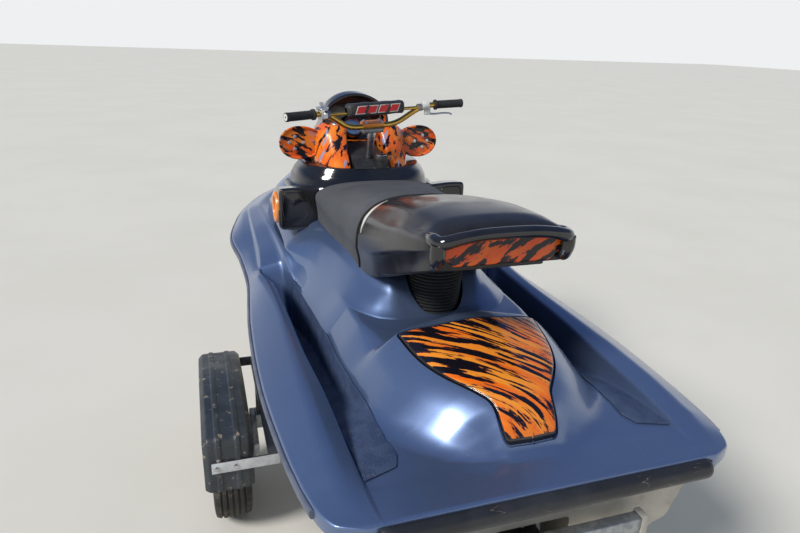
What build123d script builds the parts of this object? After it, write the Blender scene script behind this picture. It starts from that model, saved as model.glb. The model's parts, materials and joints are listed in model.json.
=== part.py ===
"""Sport personal watercraft standing on its small road trailer.

Millimetres. +X is starboard, +Y is forward and +Z is up. The craft is drawn from
its stern edge and its keel, the trailer from the stern edge and the ground, and
both are placed when they are written. The origin is on the ground, halfway along
the whole outfit.
"""
import os
from math import cos, radians, sin, tan

from build123d import *

os.makedirs("parts", exist_ok=True)

# Driving dimensions
tow_reach = 3560.0          # stern edge to the nose of the tow coupling
bumper_proud = 15.0         # how far the stern bumper stands behind the deck edge
keel_height = 450.0         # ground to the level run of the keel
deadrise = 20.0             # slope of the planing bottom, degrees
ledge = 500.0               # level part of the deck that carries the console
edge_z = 400.0              # outer edge of the deck along the sides
bond_drop = 35.0            # deck edge down to the joint with the hull
lean = 7.0                  # footwell's outer wall leaning in towards its floor
shell = 12.0                # thickness of the footwell moulding
hull_inset = 14.0           # deck flange standing proud of the hull side
fit = 0.3                   # seat clearance between curved or soft neighbours
run = 6.0                   # clearance round moving pieces

stern = -(tow_reach + bumper_proud) / 2 + bumper_proud
craft = Location((0, stern, keel_height))
trailer = Location((0, stern, 0))
slope = tan(radians(deadrise))


def both(points):
    """Whole outline from a starboard half that starts on the centre line."""
    return points + [(-x, z) for x, z in reversed(points) if x > 0]


def ruled_body(rows):
    """Solid ruled between outlines across the craft, given as (y, points)."""
    wires = [Wire.make_polygon([Vector(x, y, z) for x, z in points], close=True) for y, points in rows]
    with BuildPart() as body:
        add(Solid.make_loft(wires, ruled=True))
    return body.part


def layered_body(layers):
    """Solid ruled between level outlines, given as (z, points)."""
    wires = [Wire.make_polygon([Vector(x, y, z) for x, y in points], close=True) for z, points in layers]
    with BuildPart() as body:
        add(Solid.make_loft(wires, ruled=True))
    return body.part


def prism(points, low, high):
    """Upright solid on a level outline."""
    return layered_body([(low, points), (high, points)])


# Deck moulding
# columns: y, centre z, crown x z, shoulder x z, foot x z, footwell floor inner x z
# and outer z, gunwale inner x z, ridge x z, edge x z
deck_table = [
    (12, 406, 100, 406, 210, 406, 300, 405, 360, 405, 404, 394, 404, 412, 403, 430, edge_z),
    (40, 407, 95, 407, 150, 407, 240, 406, 360, 405, 405, 400, 406, 435, 405, 487, edge_z),
    (100, 409, 60, 409, 90, 408, 130, 407, 370, 405, 406, 404, 410, 453, 415, 516, edge_z),
    (122, 420, 58, 418, 84, 411, 122, 407, 370, 404, 405, 405, 412, 456, 418, 521, edge_z),
    (140, 453, 62, 450, 86, 428, 152, 407, 370, 404, 404, 406, 413, 458, 421, 525, edge_z),
    (165, 490, 66, 486, 98, 456, 190, 408, 370, 404, 402, 407, 416, 460, 426, 530, edge_z),
    (200, 518, 74, 513, 118, 476, 224, 408, 370, 403, 400, 408, 418, 462, 430, 535, edge_z),
    (250, 537, 106, 525, 152, 488, 258, 408, 364, 402, 394, 410, 422, 464, 436, 542, edge_z),
    (330, 556, 140, 532, 188, 492, 298, 408, 350, 400, 382, 412, 426, 467, 443, 550, edge_z),
    (455, 580, 176, 536, 228, 494, 316, 410, 328, 376, 356, 416, 430, 468, 448, 560, edge_z),
    (525, 592, 184, 538, 238, 498, 326, 411, 340, 346, 336, 420, 432, 468, 450, 564, edge_z),
    (575, ledge, 125, ledge, 255, 494, 330, 412, 344, 336, 328, 424, 433, 467, 450, 566, edge_z),
    (700, ledge, 150, ledge, 264, ledge, 338, 415, 350, 314, 312, 432, 435, 467, 450, 567, edge_z),
    (940, ledge, 150, ledge, 272, ledge, 338, 416, 350, 280, 280, 438, 436, 465, 450, 561, edge_z),
    (1230, ledge, 150, ledge, 298, ledge, 366, 424, 376, 240, 240, 452, 436, 486, 450, 540, edge_z),
    (1290, ledge, 150, ledge, 306, ledge, 374, 434, 384, 232, 232, 468, 436, 496, 450, 535, edge_z),
    (1400, ledge, 150, ledge, 325, ledge, 388, 494, 402, 458, 440, 486, 432, 508, 422, 531, edge_z),
    (1600, ledge, 150, ledge, 345, ledge, 396, 512, 412, 495, 465, 480, 450, 512, 435, 540, 414),
    (1800, ledge, 150, ledge, 350, ledge, 404, 518, 424, 505, 482, 478, 472, 522, 455, 562, 432),
    (2050, ledge, 150, ledge, 352, ledge, 405, 512, 430, 502, 488, 470, 482, 498, 470, 522, 448),
    (2300, ledge, 110, ledge, 280, ledge, 340, 505, 362, 498, 490, 390, 486, 416, 478, 440, 460),
    (2500, ledge, 60, ledge, 170, ledge, 232, 502, 248, 498, 492, 268, 490, 290, 484, 322, 468),
    (2620, ledge, 25, ledge, 70, ledge, 128, 500, 142, 498, 494, 158, 492, 176, 486, 200, 472),
    (2705, 496, 8, 496, 16, 496, 26, 495, 36, 494, 493, 48, 491, 62, 488, 84, 475),
]


def deck_top(row):
    """Upper outline of the deck from the centre line out to the edge."""
    y, cz, ax, az, bx, bz, fx, fz, nx, nz, oz, gx, gz, rx, rz, ex, ez = row
    return [(0, cz), (ax, az), (bx, bz), (fx, fz), (nx, nz), (gx - lean, oz), (gx, gz), (rx, rz), (ex, ez)]


def bond_line(row, inset=0.0):
    """Underside of the deck from its edge in to the middle; the hull's top follows it."""
    y, cz, ax, az, bx, bz, fx, fz, nx, nz, oz, gx, gz, rx, rz, ex, ez = row
    bond = ez - bond_drop
    return [(ex - inset, bond), (gx + shell, bond), (gx - lean + shell, min(bond, oz - shell)),
            (nx - shell, min(bond, nz - shell)), (0.7 * fx, bond)]


deck_solid = ruled_body([(row[0], both(deck_top(row) + bond_line(row))) for row in deck_table])

# Rear cover: shield outline on the hump, columns y and half width
cover_line = [(134, 50), (146, 62), (177, 68), (207, 74), (245, 106), (290, 138), (330, 160), (385, 182),
              (440, 194), (490, 197), (505, 190)]
cover_thick = 14.0
latch_gap = 16.0            # finger room behind the cover's tab
# Bay under the cover
bay_half, bay_y0, bay_y1, bay_z = 66.0, 190.0, 430.0, 422.0


def shield(grow, tail):
    """Upright solid on the cover's outline, grown by a margin and further at its tab."""
    half = [(w + grow, y) for y, w in cover_line]
    half[0] = (half[0][0], cover_line[0][0] - tail)
    half[-1] = (half[-1][0], cover_line[-1][0] + grow)
    return prism(half + [(-x, y) for x, y in reversed(half)], bay_z, bay_z + 300)


with BuildPart() as rear_cover:
    add(deck_solid)
    add(shield(0, 0), mode=Mode.INTERSECT)
    add(deck_solid.moved(Location((0, 0, -cover_thick))), mode=Mode.SUBTRACT)
rear_cover.part.label = "rear_cover"

with BuildPart() as cover_void:
    add(shield(run, latch_gap))
    add(deck_solid.moved(Location((0, 0, -cover_thick - fit))), mode=Mode.SUBTRACT)

with BuildPart() as deck:
    add(deck_solid)
    add(cover_void.part, mode=Mode.SUBTRACT)
    with Locations((0, (bay_y0 + bay_y1) / 2, bay_z)):
        Box(2 * bay_half, bay_y1 - bay_y0, 400, align=(Align.CENTER, Align.CENTER, Align.MIN), mode=Mode.SUBTRACT)
deck.part.label = "deck"

# Hull, one row for each of the deck's rows from its transom on
# columns: keel z, chine half width, rise of the bottom
transom = 2                 # the deck's rows behind it overhang the hull
hull_table = [
    (0, 409, slope), (0, 411, slope), (0, 413, slope), (0, 416, slope), (0, 420, slope), (0, 425, slope),
    (0, 432, slope), (0, 440, slope), (0, 442, slope), (0, 444, slope),
    (0, 446, slope), (0, 446, slope), (0, 440, slope), (0, 438, slope), (0, 434, slope), (0, 424, slope),
    (0, 408, slope), (20, 372, 0.42), (95, 280, 0.55), (205, 180, 0.70), (310, 96, 0.90), (418, 24, 0.90),
]
spray_rail = 12.0           # width of the spray rails moulded on the bottom
spray_places = (0.36, 0.87)  # their place as a share of the chine's half width


def bottom_z(x):
    """Height of the planing bottom over its level run."""
    return slope * abs(x)


def hull_outline(row, keel, chine, rise):
    """Bottom with its spray rails, chine, side and the bond line back to the middle."""
    wide = min(spray_rail, 0.1 * chine)
    half = [(0, keel)]
    for share in spray_places:
        x = share * chine
        half += [(x, keel + rise * x), (x + wide, keel + rise * x), (x + wide, keel + rise * (x + wide))]
    return both(half + [(chine, keel + rise * chine)] + bond_line(row, hull_inset))


# Jet pump and the tunnel that holds it
pump_z, pump_r, pump_bore = 130.0, 78.0, 66.0
pump_y0, pump_y1 = 165.0, 430.0
tunnel_half, tunnel_top, tunnel_y1 = 110.0, 222.0, 560.0
intake_half, intake_top, intake_y1 = 70.0, 172.0, 770.0
shaft_r = 10.0
shaft_y1 = intake_y1 + 45
# Engine and its bay
engine_size = (280.0, 440.0, 230.0)
engine_y, engine_floor = 1060.0, 85.0
engine_gap = 15.0

with BuildPart() as hull:
    add(ruled_body([(row[0], hull_outline(row, *form)) for row, form in zip(deck_table[transom:], hull_table)]))
    with Locations((0, 0, tunnel_top)):
        Box(2 * tunnel_half, 2 * tunnel_y1, 2 * tunnel_top, align=(Align.CENTER, Align.CENTER, Align.MAX),
            mode=Mode.SUBTRACT)
    with Locations((0, 0, intake_top)):
        Box(2 * intake_half, 2 * intake_y1, 2 * intake_top, align=(Align.CENTER, Align.CENTER, Align.MAX),
            mode=Mode.SUBTRACT)
    with Locations(Location((0, shaft_y1, pump_z), (90, 0, 0))):
        Cylinder(shaft_r + run, 2 * (shaft_y1 + run - intake_y1), mode=Mode.SUBTRACT)
    with Locations((0, engine_y, engine_floor)):
        Box(engine_size[0] + 2 * engine_gap, engine_size[1] + 2 * engine_gap, ledge,
            align=(Align.CENTER, Align.CENTER, Align.MIN), mode=Mode.SUBTRACT)
hull.part.label = "hull"

with BuildPart() as engine:
    with Locations((0, engine_y, engine_floor)):
        Box(*engine_size, align=(Align.CENTER, Align.CENTER, Align.MIN))
engine.part.label = "engine"

# Console under the seat, stepping up to the steering gear
seat_z = ledge + 100.0      # level top under the seat
cowl_z = ledge + 170.0      # level top under the collar
pod_y0, pod_y1 = 1465.0, 1795.0
cowl_y0 = 1800.0
block_half, block_y0 = 250.0, 1480.0
console_root, console_flare = 40.0, 24.0    # its flanks run on down to meet the deck's slope
# columns: y, base half width, side x and rise, top half width
console_table = [
    (700, 158, 132, 58, 112),
    (740, 198, 160, 62, 134),
    (820, 236, 190, 65, 158),
    (940, 266, 212, 65, 176),
    (1230, 294, 240, 70, 198),
    (1290, 304, 250, 68, 208),
    (1400, 370, 292, 58, 230),
    (1440, 378, 300, 57, 238),
    (cowl_y0, 384, 308, 56, 242),
]
bellows_y, bellows_r, bellows_gap = 785.0, 78.0, 12.0

with BuildPart() as console:
    add(ruled_body([(y, both([(0, ledge - console_root), (b + console_flare, ledge - console_root), (b, ledge),
                              (s, ledge + rise), (t, seat_z), (0, seat_z)]))
                    for y, b, s, rise, t in console_table]))
    with Locations((0, (block_y0 + cowl_y0) / 2, ledge)):
        Box(2 * block_half, cowl_y0 - block_y0, cowl_z - ledge, align=(Align.CENTER, Align.CENTER, Align.MIN))
    add(deck_solid, mode=Mode.SUBTRACT)
    with Locations((0, bellows_y, seat_z)):
        Cylinder(bellows_r + bellows_gap, 300, mode=Mode.SUBTRACT)
    with Locations((0, bellows_y, seat_z)):
        Box(2 * (bellows_r + bellows_gap), 300, 300, align=(Align.CENTER, Align.MAX, Align.CENTER),
            mode=Mode.SUBTRACT)
console.part.label = "console"

# Bow cowl
# columns: y, base half width, side x z, top half width, top z, ridge z
cowl_table = [
    (cowl_y0, 340, 318, 590, 262, 690, 715),
    (2050, 345, 318, 590, 250, 700, 732),
    (2300, 272, 246, 570, 190, 655, 680),
    (2500, 164, 146, 545, 106, 585, 600),
    (2615, 66, 56, 515, 40, 535, 540),
]
cowl_solid = ruled_body([(y, both([(0, rz), (t, tz), (s, sz), (b, ledge)]))
                         for y, b, s, sz, t, tz, rz in cowl_table])

# Bow hatch, columns y and half width, and the store under it
hatch_line = [(2228, 150), (2250, 158), (2400, 118), (2466, 96), (2478, 84)]
hatch_thick = 18.0
store_half, store_y0, store_y1 = 92.0, 2262.0, 2412.0
relief_half, relief_y0, relief_z = 116.0, 2425.0, 566.0


def hatch_outline(grow):
    """Level outline of the hatch, grown by a margin."""
    half = [(w + grow, y) for y, w in hatch_line]
    half[0] = (half[0][0], half[0][1] - grow)
    half[-1] = (half[-1][0], half[-1][1] + grow)
    return half + [(-x, y) for x, y in reversed(half)]


with BuildPart() as front_hatch:
    add(cowl_solid)
    add(prism(hatch_outline(0), ledge, cowl_z + 200), mode=Mode.INTERSECT)
    add(cowl_solid.moved(Location((0, 0, -hatch_thick))), mode=Mode.SUBTRACT)
front_hatch.part.label = "front_hatch"

with BuildPart() as hatch_void:
    add(prism(hatch_outline(run), ledge + fit, cowl_z + 200))
    add(cowl_solid.moved(Location((0, 0, -hatch_thick - fit))), mode=Mode.SUBTRACT)

with BuildPart() as bow_cowl:
    add(cowl_solid)
    add(hatch_void.part, mode=Mode.SUBTRACT)
    with Locations((0, (store_y0 + store_y1) / 2, ledge)):
        Box(2 * store_half, store_y1 - store_y0, 400, mode=Mode.SUBTRACT)
    # room under the hinge for the hatch's front edge as it swings
    hinge_half = [(relief_half, relief_y0)] + [(w + run, y) for y, w in hatch_line[-2:]]
    add(prism(hinge_half + [(-x, y) for x, y in reversed(hinge_half)], relief_z, cowl_z), mode=Mode.SUBTRACT)
bow_cowl.part.label = "bow_cowl"

# Seat: base pan, raised tail and front pad
pan_thick = 14.0
# columns: y, half width, underside z
pan_table = [
    (372, 122, 776),
    (440, 140, 752),
    (550, 158, 708),
    (690, 172, 646),
    (800, 180, seat_z + fit),
    (948, 182, seat_z + fit),
]
# columns: y, base half width, side half width and z, crown z
tail_table = [
    (372, 128, 178, 826, 888),
    (440, 146, 195, 808, 896),
    (550, 164, 206, 772, 892),
    (690, 180, 212, 716, 872),
    (800, 186, 214, 680, 852),
    (948, 190, 214, 652, 816),
]
pad_table = [
    (952, 190, 210, 650, 812),
    (1110, 200, 218, 656, 798),
    (1300, 226, 242, 668, 776),
    (1462, 242, 254, 688, 750),
]
roundness = 2.7             # exponent of the seat's crowned outline
crown_steps = 6


def cushion(y, base, base_z, side, side_z, crown):
    """One outline of the seat: straight flanks under a crown shaped as a rounded oblong."""
    half = []
    for i in range(crown_steps + 1):
        turn = radians(90 * (1 - i / crown_steps))
        half.append((side * cos(turn) ** (2 / roundness) if i else 0,
                     side_z + (crown - side_z) * sin(turn) ** (2 / roundness)))
    return y, both(half + [(base, base_z)])


with BuildPart() as seat_base:
    add(ruled_body([(y, [(-w, z), (w, z), (w, z + pan_thick), (-w, z + pan_thick)]) for y, w, z in pan_table]))
seat_base.part.label = "seat_base"

with BuildPart() as seat_tail:
    add(ruled_body([cushion(y, b, pan[2] + pan_thick + fit, s, sz, c)
                    for (y, b, s, sz, c), pan in zip(tail_table, pan_table)]))
seat_tail.part.label = "seat_tail"

with BuildPart() as seat_pad:
    add(ruled_body([cushion(y, b, seat_z + fit, s, sz, c) for y, b, s, sz, c in pad_table]))
seat_pad.part.label = "seat_pad"

panel_thick, panel_step = 13.0, 8.0
with BuildPart() as tail_panel:
    y, b, s, sz, c = tail_table[0]
    outline = cushion(y, b, pan_table[0][2] + pan_thick, s - panel_step, sz, c - panel_step)[1]
    add(ruled_body([(y - fit - panel_thick, outline), (y - fit, outline)]))
tail_panel.part.label = "tail_panel"

# Grab handle looping round the tail, seated on its flanks
handle_r = 16.0
handle_bend = 36.0
handle_path = [(-213, 480, 796), (-210, 388, 826), (-152, 338, 882), (152, 338, 882), (210, 388, 826),
               (213, 480, 796)]
handle_foot = (50.0, 34.0, 26.0)
with BuildPart() as grab_handle:
    with BuildLine():
        FilletPolyline(*handle_path, radius=handle_bend)
    first, second = Vector(*handle_path[0]), Vector(*handle_path[1])
    with BuildSketch(Plane(origin=first, z_dir=second - first)):
        Circle(handle_r)
    sweep()
    for x, y, z in (handle_path[0], handle_path[-1]):
        with Locations((x - handle_r * x / abs(x), y - handle_r, z)):
            Box(*handle_foot)
    add(seat_tail.part, mode=Mode.SUBTRACT)
    add(seat_base.part, mode=Mode.SUBTRACT)
grab_handle.part.label = "grab_handle"

# Bellows round the seat's spring
rib_count = 10
rib_depth = 9.0
bellows_top = ledge + 143.0
with BuildPart() as bellows:
    rib_pitch = (bellows_top - ledge) / rib_count
    with BuildSketch(Plane.XZ.offset(-bellows_y)):
        with BuildLine():
            flank = []
            for i in range(rib_count):
                z = ledge + i * rib_pitch
                flank += [(bellows_r - rib_depth, z), (bellows_r, z + rib_pitch / 2)]
            flank.append((bellows_r - rib_depth, bellows_top))
            Polyline(*([(0, ledge)] + flank + [(0, bellows_top)]), close=True)
        make_face()
    revolve(axis=Axis((0, bellows_y, 0), (0, 0, 1)))
    # it ends under the pan, which rises to the rear
    add(ruled_body([(y, [(-w, z - fit), (w, z - fit), (w, cowl_z), (-w, cowl_z)]) for y, w, z in pan_table[2:]]),
        mode=Mode.SUBTRACT)
bellows.part.label = "bellows"

# Collar round the steering gear, level outlines from the back round to the front
collar_top = cowl_z + 115.0
collar_lip = 20.0
collar_front = cowl_y0 - 10.0
collar_low = [(0, 1452), (150, 1470), (262, 1540), (318, 1660), (323, collar_front)]
collar_mid = [(0, 1486), (132, 1500), (236, 1562), (290, 1672), (296, collar_front)]
collar_high = [(0, 1512), (120, 1524), (206, 1580), (258, 1680), (266, collar_front)]
with BuildPart() as collar:
    add(layered_body([(z, both(half)) for z, half in (
        (cowl_z, collar_low), (cowl_z + collar_lip, collar_low), (cowl_z + 3 * collar_lip, collar_mid),
        (collar_top, collar_high))]))
    add(seat_pad.part, mode=Mode.SUBTRACT)
collar.part.label = "collar"

# Pillars either side of the steering column, level outlines of the starboard one
pillar_top = 938.0
pillar_front = collar_front - 2
pillar_levels = [
    (collar_top, [(86, 1532), (170, 1570), (238, 1680), (246, pillar_front), (96, pillar_front)]),
    (845, [(80, 1604), (150, 1614), (218, 1692), (228, pillar_front), (88, pillar_front)]),
    (905, [(70, 1662), (124, 1656), (190, 1702), (202, pillar_front), (78, pillar_front)]),
    (pillar_top, [(66, 1690), (110, 1680), (158, 1712), (168, pillar_front), (72, pillar_front)]),
]
with BuildPart() as pillars:
    for side in (-1, 1):
        add(layered_body([(z, [(side * x, y) for x, y in outline]) for z, outline in pillar_levels]))
pillars.part.label = "pillars"

# Side pods with their ring vents
pod_out = 392.0
pod_outer = [(330, ledge + 66), (378, ledge + 70), (pod_out, ledge + 98), (pod_out, ledge + 190),
             (380, ledge + 224), (330, ledge + 230)]
pod_low, pod_high, pod_in = ledge + 76.0, ledge + 218.0, 230.0
vent_y, vent_z, vent_r, vent_hole = 1570.0, ledge + 130.0, 66.0, 44.0
vent_back, vent_proud = 362.0, 8.0
vent_long = pod_out + vent_proud - vent_back
with BuildPart() as side_pods:
    for side in (-1, 1):
        for inner, y0, y1 in ((block_half + fit, pod_y0, pod_y1), (pod_in, pod_y0, block_y0 - fit)):
            outline = [(side * x, z) for x, z in [(inner, pod_low)] + pod_outer + [(inner, pod_high)]]
            add(ruled_body([(y0, outline), (y1, outline)]))
        with Locations(Location((side * (vent_back + vent_long / 2), vent_y, vent_z), (0, 90, 0))):
            Cylinder(vent_r, vent_long, mode=Mode.SUBTRACT)
    add(console.part, mode=Mode.SUBTRACT)
    add(prism(both([(x + run, y - run) for x, y in collar_low[:-1]] + [(collar_low[-1][0] + run, pod_y1 + run)]),
              cowl_z - fit, collar_top), mode=Mode.SUBTRACT)
side_pods.part.label = "side_pods"

with BuildPart() as vent_rings:
    for side in (-1, 1):
        with Locations(Location((side * (vent_back + vent_long / 2), vent_y, vent_z), (0, 90, 0))):
            Cylinder(vent_r - fit, vent_long)
            Cylinder(vent_hole, vent_long, mode=Mode.SUBTRACT)
vent_rings.part.label = "vent_rings"

# Steering: the axis leans back through the bar clamp
clamp_y, clamp_z = 1545.0, 952.0
rake = 17.0
bar_turn = 10.4             # the bars stand turned to port
bar_r, stem_r, stem_long = 11.0, 17.0, 150.0
stem_dir = (0, -sin(radians(rake)), cos(radians(rake)))
stem_axis = Axis((0, clamp_y, clamp_z), stem_dir)
stem_plane = Plane(origin=(0, clamp_y, clamp_z), x_dir=(1, 0, 0), z_dir=stem_dir)

base_half = 72.0
base_side = [(1520, collar_top), (1540, collar_top + 27), (1700, collar_top + 55), (pillar_front, collar_top + 65),
             (pillar_front, collar_top)]
with BuildPart() as column_base:
    with BuildSketch(Plane.YZ.offset(-base_half)):
        with BuildLine():
            Polyline(*base_side, close=True)
        make_face()
    extrude(amount=2 * base_half)
    with Locations(stem_plane.offset(-stem_long)):
        Cylinder(stem_r + 1, 200, mode=Mode.SUBTRACT)
    add(collar.part, mode=Mode.SUBTRACT)
    add(pillars.part, mode=Mode.SUBTRACT)
column_base.part.label = "column_base"

cap_x, cap_y, cap_r, cap_high, cap_neck = 42.0, 1546.0, 30.0, 22.0, 32.0
with BuildPart() as fuel_cap:
    with Locations((cap_x, cap_y, collar_top)):
        Cylinder(cap_r - 4, cap_neck + cap_high, align=(Align.CENTER, Align.CENTER, Align.MIN))
        with Locations((0, 0, cap_neck)):
            Cylinder(cap_r, cap_high, align=(Align.CENTER, Align.CENTER, Align.MIN))
    add(column_base.part, mode=Mode.SUBTRACT)
    add(collar.part, mode=Mode.SUBTRACT)
fuel_cap.part.label = "fuel_cap"


def turned(body, label):
    """A body of the bars, turned about the steering axis to where they stand."""
    moved = body.rotate(stem_axis, bar_turn)
    moved.label = label
    return moved


# Bars, drawn straight ahead: end, outer bend and clamp bend on each side
bar_half = [Vector(378, 1471, 1027), Vector(212, 1507, 1025), Vector(105, 1541, 956)]
bar_path = [Vector(-p.X, p.Y, p.Z) for p in bar_half] + bar_half[::-1]
bar_bends = [46, 40, 40, 46]
cross_share = 0.9           # crossbar's height up the rising part of the bars
cross_end = bar_half[2] + (bar_half[1] - bar_half[2]) * cross_share
cross_r = 6.5
grip_r, grip_length, collar_wide = 16.5, 122.0, 8.0
grip_dir = (bar_half[0] - bar_half[1]).normalized()


def along_bar(side, back):
    """Plane square to the bar's outer run, some way in from its end."""
    place = bar_half[0] - grip_dir * back
    return Plane(origin=(side * place.X, place.Y, place.Z), z_dir=(side * grip_dir.X, grip_dir.Y, grip_dir.Z))


with BuildPart() as bar_rod:
    with BuildLine():
        FilletPolyline(*bar_path, radius=bar_bends)
    with BuildSketch(Plane(origin=bar_path[0], z_dir=bar_path[1] - bar_path[0])):
        Circle(bar_r)
    sweep()

with BuildPart() as bars:
    add(bar_rod.part)
    with Locations(Location((0, cross_end.Y, cross_end.Z), (0, 90, 0))):
        Cylinder(cross_r, 2 * cross_end.X)
handlebar = turned(bars.part, "handlebar")

pad_half, pad_deep, pad_high, pad_round = 126.0, 46.0, 50.0, 14.0
with BuildPart() as pad:
    with Locations((0, cross_end.Y, cross_end.Z + 10)):
        Box(2 * pad_half, pad_deep, pad_high)
    fillet(pad.edges().filter_by(Axis.X), pad_round)
    with Locations(Location((0, cross_end.Y, cross_end.Z), (0, 90, 0))):
        Cylinder(cross_r + fit, 3 * pad_half, mode=Mode.SUBTRACT)
bar_pad = turned(pad.part, "bar_pad")

with BuildPart() as grip_pair:
    for side in (-1, 1):
        with Locations(along_bar(side, grip_length / 2 - 4)):
            Cylinder(grip_r, grip_length)
        with Locations(along_bar(side, grip_length - 10)):
            Cylinder(grip_r + 4, collar_wide)
    for side in (-1, 1):
        with Locations(along_bar(side, grip_length)):
            Cylinder(bar_r + fit, 2 * grip_length, mode=Mode.SUBTRACT)
grips = turned(grip_pair.part, "grips")

lever_reach, lever_thick = 104.0, 7.0
perch_size, switch_size, lever_arm = (34.0, 40.0, 44.0), (30.0, 34.0, 26.0), 16.0
with BuildPart() as controls:
    with Locations(along_bar(-1, grip_length + 34)):
        Box(*perch_size)
    with Locations(along_bar(1, grip_length + 34)):
        Box(*switch_size)
        with Locations((0, -27, lever_arm)):
            Box(12, 26, 14)
        with Locations((0, -38, lever_arm + lever_reach / 2)):
            Box(12, lever_thick, lever_reach)
    add(bar_rod.part, mode=Mode.SUBTRACT)
bar_controls = turned(controls.part, "bar_controls")

clamp_size = (96.0, 44.0, 46.0)
with BuildPart() as stem:
    with Locations(stem_plane.offset(-stem_long / 2)):
        Cylinder(stem_r, stem_long)
    with Locations(stem_plane.offset(2)):
        Box(*clamp_size)
    add(bar_rod.part, mode=Mode.SUBTRACT)
steering_stem = turned(stem.part.solids().sort_by(SortBy.VOLUME)[-1], "steering_stem")

# Fairing in front of the bars, arched over a hollow for the gauges
# columns: y, foot half width, waist half width and z, spring half width and z, top z
hood_y0 = cowl_y0 + run
hood_table = [
    (hood_y0, 262, 250, 786, 150, 940, 1058),
    (1880, 258, 244, 786, 148, 944, 1064),
    (1960, 248, 226, 778, 144, 908, 1028),
    (2050, 232, 202, 758, 138, 842, 942),
    (2140, 214, 180, 722, 130, 768, 826),
    (2205, 196, 160, 694, 118, 708, 722),
]
arch_steps = 5
hood_wall, hood_deep, hood_sill = 12.0, 86.0, 850.0


def arch(half, spring, top):
    """Half an elliptical arch, from its top out to its spring."""
    turns = [radians(90 * i / arch_steps) for i in range(arch_steps + 1)]
    return [(half * sin(t), spring + (top - spring) * cos(t)) for t in turns]


with BuildPart() as gauge_hood:
    add(ruled_body([(y, both(arch(spring_x, spring_z, top) + [(waist_x, waist_z), (foot, 650)]))
                    for y, foot, waist_x, waist_z, spring_x, spring_z, top in hood_table]))
    inner = hood_table[0][4] - hood_wall
    outline = both(arch(inner, hood_table[0][5], hood_table[0][6] - hood_wall) + [(inner, hood_sill)])
    add(ruled_body([(hood_y0, outline), (hood_y0 + hood_deep, outline)]), mode=Mode.SUBTRACT)
    add(bow_cowl.part, mode=Mode.SUBTRACT)
gauge_hood.part.label = "gauge_hood"

# Mirror housings, closed at the back by flat plates
mirror_x, mirror_y, mirror_z = 256.0, 1718.0, 862.0
mirror_a, mirror_b, mirror_deep, mirror_taper = 98.0, 70.0, 62.0, 0.62
with BuildPart() as mirrors:
    for side in (-1, 1):
        with BuildPart(mode=Mode.PRIVATE) as one:
            for ahead, share in ((0, 1.0), (mirror_deep, mirror_taper)):
                with BuildSketch(Plane.XZ.offset(-(mirror_y + ahead))):
                    with Locations((side * (mirror_x - 0.3 * ahead), mirror_z)):
                        Ellipse(mirror_a * share, mirror_b * share)
            loft()
        add(one.part)
    add(pillars.part, mode=Mode.SUBTRACT)
mirrors.part.label = "mirrors"

# Rub rails along the deck edge and the stern bumper
rail_proud, rail_high, rail_drop = 9.0, 22.0, 4.0
with BuildPart() as rub_rails:
    for side in (-1, 1):
        rows = []
        for row in deck_table[transom:]:
            edge, top = row[15], row[16] - rail_drop
            rows.append((row[0], [(side * (edge + fit), top), (side * (edge + rail_proud), top - rail_drop),
                                  (side * (edge + rail_proud), top - rail_high),
                                  (side * (edge + fit), top - rail_drop - rail_high)]))
        add(ruled_body(rows))
rub_rails.part.label = "rub_rails"

bumper_half, bumper_high, bumper_round = 405.0, 50.0, 11.0
bumper_deep = bumper_proud + deck_table[0][0]
with BuildPart() as stern_bumper:
    with Locations((0, -bumper_proud, edge_z)):
        Box(2 * bumper_half, bumper_deep, bumper_high, align=(Align.CENTER, Align.MIN, Align.MAX))
    fillet(stern_bumper.edges().filter_by(Axis.X).group_by(Axis.Y)[0], bumper_round)
stern_bumper.part.label = "stern_bumper"

# Jet pump, its stator and the ears that carry the nozzle
pivot_y, nozzle_y0, nozzle_y1 = 132.0, 28.0, 146.0
nozzle_mouth, nozzle_throat, nozzle_wall = 46.0, 60.0, 6.0
ear_thick, ear_wide, pin_r = 8.0, 20.0, 5.0
ear_z = pump_bore + 1 + ear_thick / 2
vane_count, vane_thick, hub_r, hub_long = 6, 5.0, 26.0, 110.0
with BuildPart() as pump_housing:
    with Locations(Location((0, pump_y1, pump_z), (90, 0, 0))):
        Cylinder(pump_r, pump_y1 - pump_y0, align=(Align.CENTER, Align.CENTER, Align.MIN))
        Cylinder(pump_bore, pump_y1 - pump_y0, align=(Align.CENTER, Align.CENTER, Align.MIN), mode=Mode.SUBTRACT)
    with Locations(Location((0, pump_y0 + hub_long / 2 + 10, pump_z), (90, 0, 0))):
        Cylinder(hub_r, hub_long)
        with PolarLocations(0, vane_count // 2, angular_range=180):
            Box(2 * pump_bore + run, vane_thick, hub_long - 10)
        Cylinder(shaft_r + fit, hub_long + 1, mode=Mode.SUBTRACT)
    with Locations((0, pump_y1 - 60, tunnel_top)):
        Box(60, 80, tunnel_top - pump_z - pump_bore - 1, align=(Align.CENTER, Align.CENTER, Align.MAX))
    for side in (-1, 1):
        with Locations((0, (pivot_y + pump_y0) / 2, pump_z + side * ear_z)):
            Box(ear_wide, pump_y0 - pivot_y + ear_wide, ear_thick)
        with Locations((0, pivot_y, pump_z + side * (ear_z + nozzle_throat - nozzle_wall) / 2)):
            Cylinder(pin_r, ear_z - nozzle_throat + nozzle_wall)
pump_housing.part.label = "pump_housing"

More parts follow.
